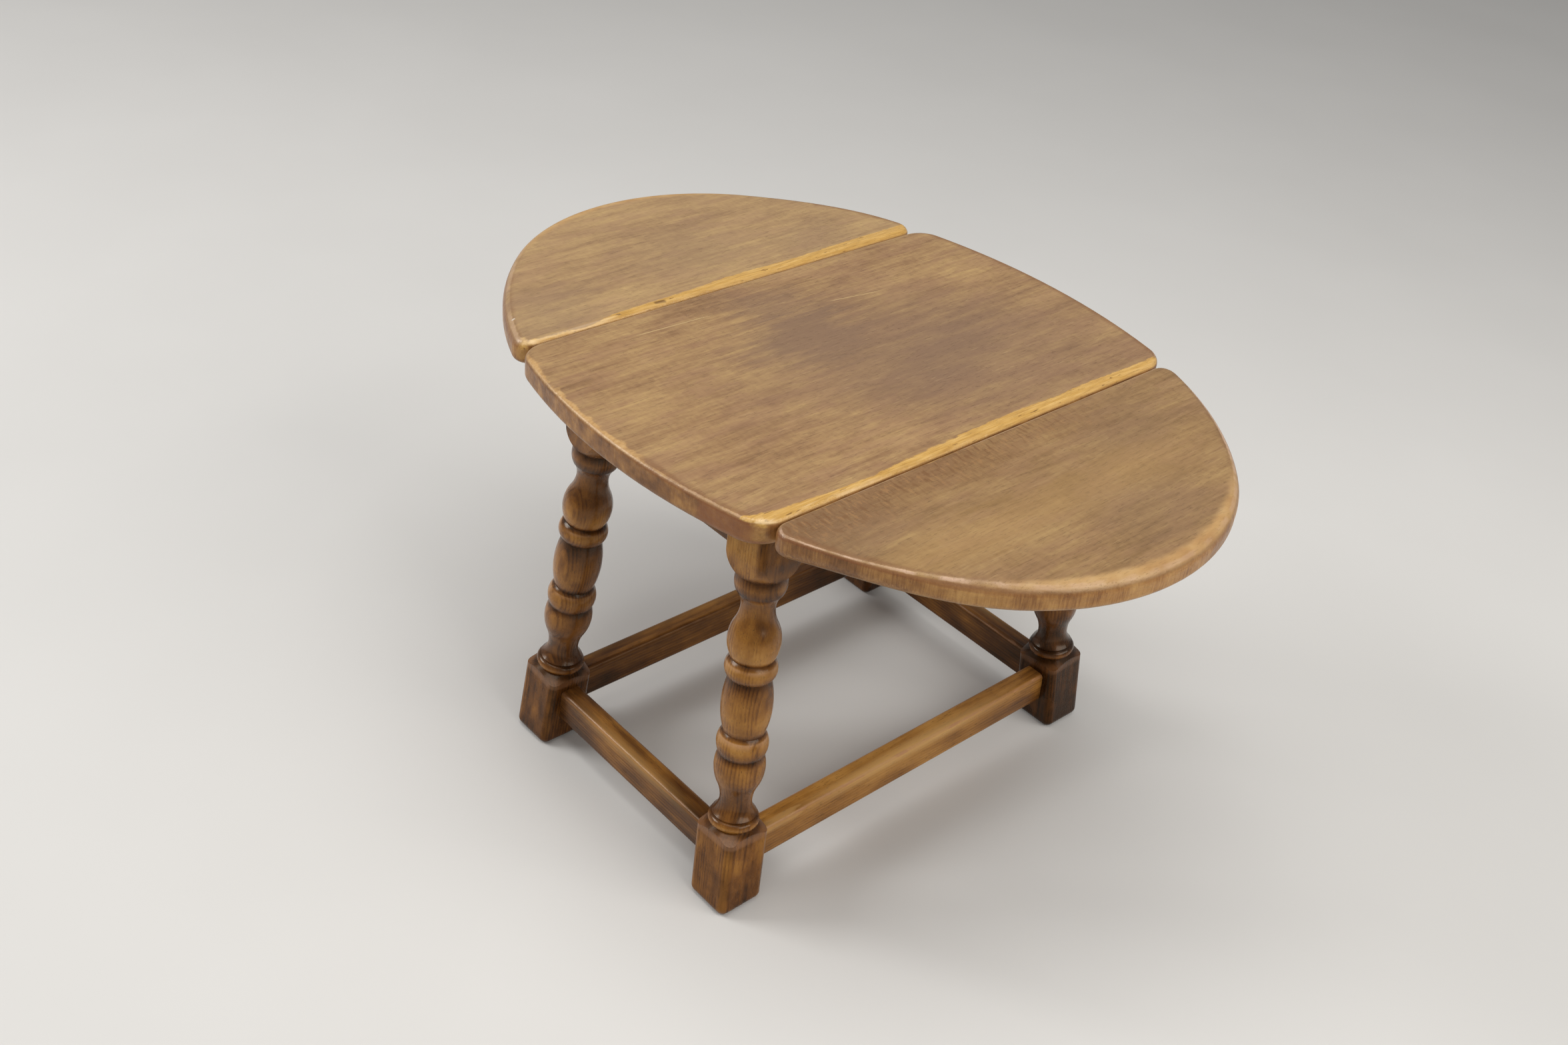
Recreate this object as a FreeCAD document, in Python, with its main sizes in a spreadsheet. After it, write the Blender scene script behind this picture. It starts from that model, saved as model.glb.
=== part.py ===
"""Butterfly folding table: an oval drop-leaf coffee table in oak.

Frame: X runs across the three boards of the top, Y runs along the seams, +Z is up, and the
origin is on the floor under the middle of the top. Left is -X, right is +X, front is -Y and
back is +Y. All sizes are millimetres.
"""

import FreeCAD, Part
import math
import os

import Sketcher

doc = FreeCAD.newDocument("ButterflyTable")

# ---------------------------------------------------------------------------------------------
# Driving sizes
# ---------------------------------------------------------------------------------------------

DRIVING_SIZES = [
    # the top
    ("table_height", 400, "floor to the top's upper face"),
    ("top_length", 700, "across the three boards, leaves up"),
    ("top_width", 504, "along the seams, at the panel's middle"),
    ("top_thickness", 22.5, "thickness of all three boards"),
    ("seam_spacing", 304, "from one seam to the other"),
    ("end_bow", 22, "how far the panel's ends bow out past the ends of the seams"),
    ("seam_gap", 1, "open gap between panel and leaf"),
    ("leaf_end_radius", 203, "plan radius of a leaf's outer end"),
    ("leaf_shoulder_radius", 328, "plan radius from a leaf's end to its seam corner"),
    ("panel_corner_radius", 27, "plan radius of the panel's seam corners"),
    ("leaf_corner_radius", 14, "plan radius of a leaf's seam corners"),
    ("seam_edge_radius", 6.5, "round along a board's upper edge at a seam"),
    ("end_edge_radius", 4.5, "round along the upper edge beside a seam corner"),
    ("tip_edge_radius", 10, "round along the upper edge at a leaf's tip"),
    ("lower_edge_radius", 6, "round along a board's lower edge at the seams and the tips"),
    ("lower_corner_radius", 11, "round along a leaf's lower edge beside a seam corner"),
    # the legs
    ("leg_square", 45, "side of a leg's square blank"),
    ("leg_inset_x", 21.5, "from a seam to a leg's centre at the floor"),
    ("leg_inset_y", 45, "from the panel's end to a leg's centre at the floor"),
    ("splay_angle_x", 4.44, "lean of a leg in the XZ plane, degrees"),
    ("splay_angle_y", 4.81, "lean of a leg in the YZ plane, degrees"),
    ("foot_arris_radius", 7, "worn round on a foot's upright corners"),
    ("block_arris_radius", 6, "round on the top block's upright corners"),
    ("foot_edge_radius", 7, "round under a foot"),
    ("cutting_allowance", 6, "spare blank trimmed off at floor and top"),
    # the turning, as heights and radii along a leg from the floor
    ("turning_limit", 33, "radius outside the blank's corners"),
    ("foot_shoulder_height", 68.8, "turned shoulder at the turning limit"),
    ("ring_base_height", 78, "where the ring meets the shoulder"),
    ("ring_base_radius", 19.2, ""),
    ("ring_height", 82.4, "middle of the foot ring"),
    ("ring_radius", 21.6, ""),
    ("ring_groove_height", 86.8, "groove over the foot ring"),
    ("ring_groove_radius", 18.4, ""),
    ("flare_height", 88.6, "lip of the flared base"),
    ("flare_radius", 18.9, ""),
    ("ankle_height", 101, "narrow neck over the flare"),
    ("ankle_radius", 13.6, ""),
    ("low_vase_height", 135.4, "belly of the lowest vase"),
    ("low_vase_radius", 21.4, ""),
    ("low_groove_height", 148, "groove under the low bead"),
    ("low_groove_radius", 18.9, ""),
    ("low_bead_height", 158.4, "middle of the low bead"),
    ("low_bead_radius", 21.6, ""),
    ("low_bead_top_height", 169.6, "groove over the low bead"),
    ("low_bead_top_radius", 17.2, ""),
    ("middle_vase_height", 195, "belly of the middle vase"),
    ("middle_vase_radius", 21.2, ""),
    ("high_groove_height", 220.6, "groove under the high bead"),
    ("high_groove_radius", 17.4, ""),
    ("high_bead_height", 229.8, "middle of the high bead"),
    ("high_bead_radius", 21.6, ""),
    ("high_bead_top_height", 238.8, "groove over the high bead"),
    ("high_bead_top_radius", 17.5, ""),
    ("high_vase_height", 255.4, "belly of the highest vase"),
    ("high_vase_radius", 21.6, ""),
    ("neck_height", 286, "narrow neck over the highest vase"),
    ("neck_radius", 13.8, ""),
    ("collar_base_height", 299.5, "where the neck meets the collar bead"),
    ("collar_base_radius", 19, ""),
    ("collar_height", 308.2, "middle of the collar bead"),
    ("collar_radius", 21.1, ""),
    ("cup_base_height", 315.2, "where the collar meets the cup shoulder"),
    ("cup_base_radius", 20, ""),
    ("cup_top_height", 336, "where the cup shoulder leaves the blank"),
    ("cup_top_radius", 29.6, ""),
    # the box of stretchers and the rails
    ("stretcher_thickness", 20, ""),
    ("stretcher_depth", 33, "height of a stretcher's section"),
    ("stretcher_middle", 44.5, "floor to the middle of a stretcher"),
    ("stretcher_arris_radius", 4, "worn round along a stretcher's edges"),
    ("rail_thickness", 20, ""),
    ("rail_depth", 54, "height of a rail's section"),
    ("rail_arris_radius", 1.5, "eased edge along a rail"),
    ("tenon_length", 13, ""),
    ("tenon_thickness", 9, ""),
    ("stretcher_tenon_depth", 22, ""),
    ("rail_tenon_depth", 34, ""),
    ("mortise_clearance", 0.15, "around and beyond a tenon"),
    ("cleat_length", 110, ""),
    ("cleat_square", 20, ""),
    ("cleat_screw_spacing", 76, ""),
    # the knuckle strips and the wings
    ("strip_thickness", 18, ""),
    ("strip_depth", 56, "height of a knuckle strip and its wings"),
    ("wing_spacing", 54, "between a side's two wing pins"),
    ("wing_thickness", 17, ""),
    ("wing_tip_clearance", 5, "between a stowed wing's tip and the leg beyond it"),
    ("wing_tip_depth", 17, ""),
    ("wing_lobe_length", 22, "flat of a wing's lower edge beside the knuckle"),
    ("wing_tip_length", 10, "flat of a wing's lower edge at the tip"),
    ("wing_tip_radius", 6, ""),
    ("wing_shoulder_clearance", 0.5, "between knuckle and the shoulder that passes it"),
    ("knuckle_clearance", 0.3, "up and down between knuckles, and over a wing"),
    ("wing_pin_radius", 2.5, ""),
    ("wing_pin_recess", 2, "pin's end below the strip's upper face"),
    ("pin_running_clearance", 0.05, "radial, between a pin and what turns on it"),
    ("strip_screw_spacing", 30, ""),
    # the hinges
    ("hinge_inset", 77, "from the panel's end to a hinge's middle"),
    ("hinge_length", 50, ""),
    ("hinge_plate_width", 22, ""),
    ("hinge_plate_thickness", 2, ""),
    ("hinge_barrel_radius", 3, ""),
    ("hinge_pin_radius", 1.5, ""),
    ("hinge_barrel_clearance", 0.5, "between a plate and the other's knuckle"),
    ("hinge_knuckle_gap", 0.2, "end play between hinge knuckles"),
    ("hinge_screw_spacing", 17, "between a plate's screws along the seam"),
    ("hinge_screw_stagger", 3, "middle screw off the line of the outer two"),
    # the screws
    ("hinge_screw_length", 14, ""),
    ("strip_screw_length", 32, ""),
    ("cleat_screw_length", 34, ""),
    ("screw_radius", 1.7, ""),
    ("screw_head_radius", 3.4, ""),
    ("screw_head_depth", 1.8, ""),
    ("screw_point_length", 3, ""),
    ("screw_slot_width", 0.9, ""),
    ("screw_slot_depth", 0.8, ""),
    ("screw_clearance", 0.1, "around a screw in its hole"),
]

sheet = doc.addObject("Spreadsheet::Sheet", "Sizes")
for row, (alias, number, note) in enumerate(DRIVING_SIZES, start=1):
    sheet.set(f"A{row}", alias)
    sheet.set(f"B{row}", str(number))
    sheet.setAlias(f"B{row}", alias)
    sheet.set(f"C{row}", note)
doc.recompute()


class Size:
    """A length with its value now and the sheet expression that gives it."""

    def __init__(self, value, text):
        self.value = value
        self.text = text

    def joined(self, other, sign, value):
        return Size(value, f"({self.text} {sign} {other.text})")

    def __add__(self, other):
        other = as_size(other)
        return self.joined(other, "+", self.value + other.value)

    def __sub__(self, other):
        other = as_size(other)
        return self.joined(other, "-", self.value - other.value)

    def __mul__(self, other):
        other = as_size(other)
        return self.joined(other, "*", self.value * other.value)

    def __truediv__(self, other):
        other = as_size(other)
        return self.joined(other, "/", self.value / other.value)

    def __neg__(self):
        return self * -1

    def __radd__(self, other):
        return as_size(other) + self

    def __rsub__(self, other):
        return as_size(other) - self

    def __rmul__(self, other):
        return as_size(other) * self


def as_size(number):
    """Wrap a plain number, leaving a Size as it is."""
    return number if isinstance(number, Size) else Size(float(number), repr(float(number)))


def cell(alias):
    """The Size held in one cell of the sheet."""
    return Size(float(sheet.get(alias)), f"Sizes.{alias}")


def tangent(angle):
    """Tangent of an angle in degrees."""
    return Size(math.tan(math.radians(angle.value)), f"tan({angle.text} * 1 deg)")


def bind(item, **paths):
    """Tie properties of an object to sheet expressions; x, y and z name its Placement's base."""
    for path, size in paths.items():
        if path in ("x", "y", "z"):
            path = f"Placement.Base.{path}"
        item.setExpression(path, as_size(size).text)
    return item


# ---------------------------------------------------------------------------------------------
# Sizes worked out from the driving ones
# ---------------------------------------------------------------------------------------------

SIDES = {"left": -1, "right": 1}
ENDS = {"front": -1, "back": 1}

underside = cell("table_height") - cell("top_thickness")
seam_x = cell("seam_spacing") / 2
half_gap = cell("seam_gap") / 2
hinge_axis_z = underside - cell("hinge_plate_thickness")


leg_foot_x = seam_x - cell("leg_inset_x")
leg_foot_y = cell("top_width") / 2 - cell("leg_inset_y")
hinge_offset = cell("top_width") / 2 - cell("hinge_inset")


def leg_axis_x(height):
    """Distance from the YZ plane to a leg's centre line at a height."""
    return leg_foot_x - height * tangent(cell("splay_angle_x"))


def leg_axis_y(height):
    """Distance from the XZ plane to a leg's centre line at a height."""
    return leg_foot_y - height * tangent(cell("splay_angle_y"))


rail_middle = underside - cell("rail_depth") / 2
side_rail_face = leg_axis_x(rail_middle) + cell("rail_thickness") / 2
wing_pin_x = side_rail_face + cell("strip_thickness") / 2
wing_pin_y = cell("wing_spacing") / 2
knuckle_reach = cell("strip_thickness") / 2 + cell("wing_shoulder_clearance")
cleat_face_y = leg_axis_y(rail_middle) - cell("rail_thickness") / 2
stowed_tip_y = leg_axis_y(underside) - cell("leg_square") / 2 - cell("wing_tip_clearance")
wing_reach = stowed_tip_y - wing_pin_y


# ---------------------------------------------------------------------------------------------
# Drawing helpers
# ---------------------------------------------------------------------------------------------

PLACE = {"start": 1, "end": 2, "centre": 3}


def new_body(label):
    """A PartDesign body under its own label."""
    body = doc.addObject("PartDesign::Body", label)
    body.Label = label
    return body


def new_sketch(body, name, role, lift=None):
    """A sketch on one of the body's own origin planes, lifted off it along its normal."""
    plane = next(item for item in body.Origin.OriginFeatures if item.Role == role)
    sketch = body.newObject("Sketcher::SketchObject", name)
    sketch.AttachmentSupport = [(plane, "")]
    sketch.MapMode = "FlatFace"
    if lift is not None:
        sketch.setExpression("AttachmentOffset.Base.z", lift.text)
    return sketch


def hold(sketch, kind, *refs):
    """Add a dimension: the last argument is its Size, the others name what it measures."""
    size = refs[-1]
    index = sketch.addConstraint(Sketcher.Constraint(kind, *refs[:-1], size.value))
    sketch.setExpression(f"Constraints[{index}]", size.text)


def relate(sketch, kind, *refs):
    """Add a constraint that has no size."""
    sketch.addConstraint(Sketcher.Constraint(kind, *refs))


def pin_point(sketch, curve, place, across, up):
    """Hold a curve's point at a place measured from the sketch's origin."""
    origin = (-1, 1)
    point = (curve, PLACE[place])
    for kind, size in (("DistanceX", across), ("DistanceY", up)):
        size = as_size(size)
        if size.value < 0:
            hold(sketch, kind, *point, *origin, -size)
        else:
            hold(sketch, kind, *origin, *point, size)


def vector(across, up):
    """A point in a sketch's plane from two Sizes or numbers."""
    return FreeCAD.Vector(as_size(across).value, as_size(up).value, 0)


def line(sketch, start, end):
    """Add a straight edge between two sketch points."""
    return sketch.addGeometry(Part.LineSegment(start, end), False)


def arc(sketch, centre, radius, start_angle, end_angle):
    """Add an arc that runs anticlockwise between two angles in radians."""
    circle = Part.Circle(centre, FreeCAD.Vector(0, 0, 1), radius)
    return sketch.addGeometry(Part.ArcOfCircle(circle, start_angle, end_angle), False)


def rounded_rectangle(sketch, width, depth, radius):
    """Draw a rectangle with round corners, centred on the sketch's origin."""
    w, d, r = width.value / 2, depth.value / 2, radius.value
    corners = [(w, -d), (w, d), (-w, d), (-w, -d)]
    edges = []
    rounds = []
    for turn, (x, y) in enumerate(corners):
        ahead = FreeCAD.Vector(*corners[(turn + 1) % 4], 0)
        here = FreeCAD.Vector(x, y, 0)
        step = (ahead - here).normalize() * r
        edges.append(line(sketch, here + step, ahead - step))
    for turn, (x, y) in enumerate(corners):
        centre = FreeCAD.Vector(math.copysign(w - r, x), math.copysign(d - r, y), 0)
        start = (turn - 1) * math.pi / 2
        rounds.append(arc(sketch, centre, r, start, start + math.pi / 2))
    for turn in range(4):
        relate(sketch, "Tangent", rounds[turn], 1, edges[turn - 1], 2)
        relate(sketch, "Tangent", rounds[turn], 2, edges[turn], 1)
        relate(sketch, "Horizontal" if turn % 2 else "Vertical", edges[turn])
    for other in rounds[1:]:
        relate(sketch, "Equal", rounds[0], other)
    hold(sketch, "Radius", rounds[0], radius)
    hold(sketch, "DistanceX", edges[2], 1, edges[0], 1, width)
    hold(sketch, "DistanceY", edges[3], 2, edges[1], 1, depth)
    relate(sketch, "Symmetric", rounds[0], 3, rounds[2], 3, -1, 1)


def pad(body, sketch, name, length, middle=False):
    """Raise a sketch into a solid."""
    feature = body.newObject("PartDesign::Pad", name)
    feature.Profile = sketch
    feature.SideType = "Symmetric" if middle else "One side"
    bind(feature, Length=length)
    doc.recompute()
    return feature


def bar(label, role, width, depth, length, radius):
    """A straight bar with eased edges, drawn across its section and run to both sides."""
    body = new_body(label)
    section = new_sketch(body, f"{label}_section", role)
    rounded_rectangle(section, width, depth, radius)
    pad(body, section, f"{label}_run", length, middle=True)
    return body


def box(label, length, width, height, x, y, z):
    """A box by its three sizes and its lowest corner."""
    block = doc.addObject("Part::Box", label)
    return bind(block, Length=length, Width=width, Height=height, x=x, y=y, z=z)


def centred_box(label, length, width, height, x, y, z):
    """A box by its three sizes and its middle."""
    sizes = [as_size(size) for size in (length, width, height)]
    corner = [as_size(at) - size / 2 for at, size in zip((x, y, z), sizes)]
    return box(label, *sizes, *corner)


def cylinder(label, radius, height, x, y, z):
    """An upright cylinder by its radius, height and the middle of its lower face."""
    round_bar = doc.addObject("Part::Cylinder", label)
    return bind(round_bar, Radius=radius, Height=height, x=x, y=y, z=z)


def fused(label, shapes):
    """One object that joins several."""
    if len(shapes) == 1:
        return shapes[0]
    joint = doc.addObject("Part::MultiFuse", label)
    joint.Shapes = shapes
    return joint


def cut(label, base, tools):
    """The base with every tool taken away from it."""
    result = doc.addObject("Part::Cut", label)
    result.Label = label
    result.Base = base
    result.Tool = fused(f"{label}_tools", tools)
    return result


SUB_PARTS = []


def keep(sub_part):
    """List an object as one of the table's pieces."""
    SUB_PARTS.append(sub_part)
    return sub_part


# ---------------------------------------------------------------------------------------------
# Screws: countersunk, one shape for all sizes
# ---------------------------------------------------------------------------------------------

UP = FreeCAD.Vector(0, 0, 1)
SCREW_TURN = 47  # degrees between the slots of one screw and the next, as driven by hand


def screw_shape(length, spare=0.0):
    """A countersunk screw whose head's face is at the origin and whose point is along +Z."""
    radius = cell("screw_radius").value + spare
    head_radius = cell("screw_head_radius").value + spare
    head_depth = cell("screw_head_depth").value
    point_length = cell("screw_point_length").value
    outline = [
        (0, 0),
        (head_radius, 0),
        (radius, head_depth + spare),
        (radius, length - point_length + spare),
        (0, length + spare),
        (0, 0),
    ]
    points = [FreeCAD.Vector(r, 0, z) for r, z in outline]
    face = Part.Face(Part.makePolygon(points))
    return face.revolve(FreeCAD.Vector(), UP, 360)


def slotted(screw):
    """A screw with a slot across its head for the driver."""
    head = cell("screw_head_radius").value
    width = cell("screw_slot_width").value
    depth = cell("screw_slot_depth").value
    slot = Part.makeBox(2 * head, width, depth, FreeCAD.Vector(-head, -width / 2, 0))
    return screw.cut(slot)


def screw_places(spots):
    """Placements that put a screw's head at each (x, y, z) and its point along a direction."""
    places = []
    for number, (x, y, z, direction) in enumerate(spots):
        at = FreeCAD.Vector(*(as_size(value).value for value in (x, y, z)))
        driven = FreeCAD.Rotation(UP, number * SCREW_TURN)
        aimed = FreeCAD.Rotation(UP, FreeCAD.Vector(*direction))
        places.append(FreeCAD.Placement(at, aimed * driven))
    return places


def placed_group(label, single, spots):
    """Copies of one shape at each place, as one object."""
    group = doc.addObject("Part::Feature", label)
    group.Label = label
    solids = []
    for place in screw_places(spots):
        solid = single.copy()
        solid.Placement = place * solid.Placement
        solids.append(solid)
    group.Shape = Part.makeCompound(solids)
    return group


def screws(label, length, spots):
    """A group of like screws."""
    return placed_group(label, slotted(screw_shape(length.value)), spots)


def screw_holes(label, length, spots):
    """The holes for a group of screws."""
    spare = cell("screw_clearance").value
    return placed_group(label, screw_shape(length.value, spare), spots)


def hinge_screw_spots(side, end, edge_sign, spot_z):
    """Three staggered screws in a hinge plate; edge_sign is -1 on the panel, 1 on the leaf."""
    middle = cell("hinge_barrel_radius") + cell("hinge_plate_width") / 2
    spots = []
    for step in (-1, 0, 1):
        stagger = cell("hinge_screw_stagger") * (1 if step == 0 else -1)
        x = side * (seam_x + edge_sign * (middle + stagger))
        y = end * hinge_offset + step * cell("hinge_screw_spacing")
        spots.append((x, y, spot_z, (0, 0, 1)))
    return spots


def cleat_screw_spots(end):
    """Two screws up through a cleat into the panel, and two sideways into the end rail."""
    inner_face = end * (cleat_face_y - cell("cleat_square"))
    middle_y = end * (cleat_face_y - cell("cleat_square") / 2)
    spots = []
    for step in (-1, 1):
        up_x = step * cell("cleat_screw_spacing") / 2
        across_x = step * cell("cleat_screw_spacing") / 4
        low_face = underside - cell("cleat_square")
        spots.append((up_x, middle_y, low_face, (0, 0, 1)))
        spots.append((across_x, inner_face, underside - cell("cleat_square") / 2, (0, end, 0)))
    return spots


def strip_screw_spots(side):
    """Two screws, one over the other, through a knuckle strip into the side rail."""
    face = side * (side_rail_face + cell("strip_thickness"))
    spots = []
    for step in (-1, 1):
        height = underside - cell("strip_depth") / 2 + step * cell("strip_screw_spacing") / 2
        spots.append((face, 0, height, (-side, 0, 0)))
    return spots


# ---------------------------------------------------------------------------------------------
# The top: centre panel and two leaves
# ---------------------------------------------------------------------------------------------

half_seam = cell("top_width") / 2 - cell("end_bow")
panel_half = seam_x - half_gap
end_chord = panel_half * panel_half + cell("end_bow") * cell("end_bow")
panel_end_radius = end_chord / (2 * cell("end_bow"))
leaf_middle_x = (seam_x + cell("top_length") / 2) / 2
SAME_PLACE = 1e-6


def draw_panel(sketch):
    """Two straight seams joined by a bowed arc at each end."""
    x, y = panel_half, half_seam
    right = line(sketch, vector(x, -y), vector(x, y))
    left = line(sketch, vector(-x, y), vector(-x, -y))
    drop = panel_end_radius - cell("top_width") / 2
    spread = math.asin(panel_half.value / panel_end_radius.value)
    straight_up = math.pi / 2
    radius = panel_end_radius.value
    back = arc(sketch, vector(0, -drop), radius, straight_up - spread, straight_up + spread)
    front = arc(sketch, vector(0, drop), radius, -straight_up - spread, -straight_up + spread)
    pin_point(sketch, right, "start", x, -y)
    pin_point(sketch, right, "end", x, y)
    pin_point(sketch, left, "start", -x, y)
    pin_point(sketch, left, "end", -x, -y)
    for curve, start, end in ((back, right, left), (front, left, right)):
        relate(sketch, "Coincident", curve, 1, start, 2)
        relate(sketch, "Coincident", curve, 2, end, 1)
        hold(sketch, "Radius", curve, panel_end_radius)


def draw_leaf(sketch):
    """A straight inner edge, two shoulder arcs and an end arc tangent to both."""
    inner = seam_x + half_gap
    tip_radius = cell("leaf_end_radius")
    shoulder_radius = cell("leaf_shoulder_radius")
    tip_centre = cell("top_length") / 2 - tip_radius
    corner = vector(inner, half_seam)
    centre = vector(tip_centre, 0)
    away = centre - corner
    reach = away.Length
    spare = shoulder_radius.value - tip_radius.value
    along = (shoulder_radius.value**2 - spare**2 + reach**2) / (2 * reach)
    aside = math.sqrt(shoulder_radius.value**2 - along**2)
    away.normalize()
    shoulder_centre = corner + away * along + FreeCAD.Vector(away.y, -away.x, 0) * aside
    join = centre - shoulder_centre
    to_corner = corner - shoulder_centre
    join_angle = math.atan2(join.y, join.x)
    corner_angle = math.atan2(to_corner.y, to_corner.x)
    mirrored = FreeCAD.Vector(shoulder_centre.x, -shoulder_centre.y, 0)
    edge = line(sketch, vector(inner, half_seam), vector(inner, -half_seam))
    lower = arc(sketch, mirrored, shoulder_radius.value, -corner_angle, -join_angle)
    tip = arc(sketch, centre, tip_radius.value, -join_angle, join_angle)
    upper = arc(sketch, shoulder_centre, shoulder_radius.value, join_angle, corner_angle)
    pin_point(sketch, edge, "start", inner, half_seam)
    pin_point(sketch, edge, "end", inner, -half_seam)
    relate(sketch, "PointOnObject", tip, 3, -1)
    hold(sketch, "DistanceX", -1, 1, tip, 3, tip_centre)
    hold(sketch, "Radius", tip, tip_radius)
    relate(sketch, "Coincident", edge, 2, lower, 1)
    relate(sketch, "Tangent", lower, 2, tip, 1)
    relate(sketch, "Tangent", tip, 2, upper, 1)
    relate(sketch, "Coincident", upper, 2, edge, 1)
    hold(sketch, "Radius", lower, shoulder_radius)
    hold(sketch, "Radius", upper, shoulder_radius)


def edge_names(shape, wanted):
    """Names of a shape's edges for which wanted(edge) is true."""
    return [f"Edge{number}" for number, edge in enumerate(shape.Edges, start=1) if wanted(edge)]


def at_seam(point):
    """Whether a point is on a board's straight edge along a seam."""
    return abs(abs(point.x) - seam_x.value) <= half_gap.value + SAME_PLACE


def seam_corner(edge):
    """Whether an edge is one of a board's upright seam corners."""
    start, end = (vertex.Point for vertex in edge.Vertexes)
    return abs(start.z - end.z) > SAME_PLACE and at_seam(start)


def rim(shape, height, radius_at):
    """Edge numbers round a board at a height, each with its radius at both ends."""
    rounds = []
    for number, edge in enumerate(shape.Edges, start=1):
        if all(abs(vertex.Z - height) < SAME_PLACE for vertex in edge.Vertexes):
            start, end = (vertex.Point for vertex in edge.Vertexes)
            rounds.append((number, radius_at(start), radius_at(end)))
    return rounds


def eased(label, base, rounds):
    """The base with some of its edges rounded."""
    fillet = doc.addObject("Part::Fillet", label)
    fillet.Base = base
    fillet.Edges = rounds
    doc.recompute()
    return fillet


def upper_radius(point):
    """Radius of a board's upper edge at a point: full at the seams and at a leaf's tip."""
    if at_seam(point):
        return cell("seam_edge_radius").value
    if abs(point.x) > leaf_middle_x.value:
        return cell("tip_edge_radius").value
    return cell("end_edge_radius").value


def lower_radius(point):
    """Radius of a board's lower edge at a point: full beside a leaf's seam corner."""
    beside_corner = panel_half.value < abs(point.x) < leaf_middle_x.value
    if beside_corner and not at_seam(point):
        return cell("lower_corner_radius").value
    return cell("lower_edge_radius").value


def board(label, draw_outline, corner_radius):
    """One board of the top with its seam corners and both rims rounded."""
    body = new_body(f"{label}_blank")
    outline = new_sketch(body, f"{label}_outline", "XY_Plane")
    draw_outline(outline)
    thickness = cell("top_thickness")
    plank = pad(body, outline, f"{label}_plank", thickness)
    corner = body.newObject("PartDesign::Fillet", f"{label}_corners")
    corner.Base = (plank, edge_names(plank.Shape, seam_corner))
    bind(corner, Radius=corner_radius)
    doc.recompute()
    upper = eased(f"{label}_upper_rim", body, rim(body.Shape, thickness.value, upper_radius))
    whole = eased(f"{label}_lower_rim", upper, rim(upper.Shape, 0, lower_radius))
    return bind(whole, z=underside)


panel_screws = []
for side in SIDES.values():
    for end in ENDS.values():
        panel_screws += hinge_screw_spots(side, end, -1, hinge_axis_z)
cleat_screws = []
for end in ENDS.values():
    cleat_screws += cleat_screw_spots(end)

panel_blank = board("centre_panel", draw_panel, cell("panel_corner_radius"))
panel_holes = [
    screw_holes("panel_hinge_holes", cell("hinge_screw_length"), panel_screws),
    screw_holes("panel_cleat_holes", cell("cleat_screw_length"), cleat_screws),
]
keep(cut("centre_panel", panel_blank, panel_holes))
keep(screws("hinge_screws_panel", cell("hinge_screw_length"), panel_screws))
keep(screws("cleat_screws", cell("cleat_screw_length"), cleat_screws))

HALF_TURN = FreeCAD.Rotation(UP, 180)

for side_name, side in SIDES.items():
    leaf_blank = board(f"leaf_board_{side_name}", draw_leaf, cell("leaf_corner_radius"))
    if side < 0:
        leaf_blank.Placement.Rotation = HALF_TURN
    leaf_screws = []
    for end in ENDS.values():
        leaf_screws += hinge_screw_spots(side, end, 1, hinge_axis_z)
    leaf_holes = screw_holes(
        f"leaf_{side_name}_holes", cell("hinge_screw_length"), leaf_screws
    )
    keep(cut(f"leaf_board_{side_name}", leaf_blank, [leaf_holes]))
    keep(screws(f"hinge_screws_leaf_{side_name}", cell("hinge_screw_length"), leaf_screws))


# ---------------------------------------------------------------------------------------------
# The legs: square blanks, turned between foot and top block, leaning out both ways
# ---------------------------------------------------------------------------------------------


def turning_point(name):
    """A named place on the turning, as a radius and a height."""
    return cell(f"{name}_radius"), cell(f"{name}_height")


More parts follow.
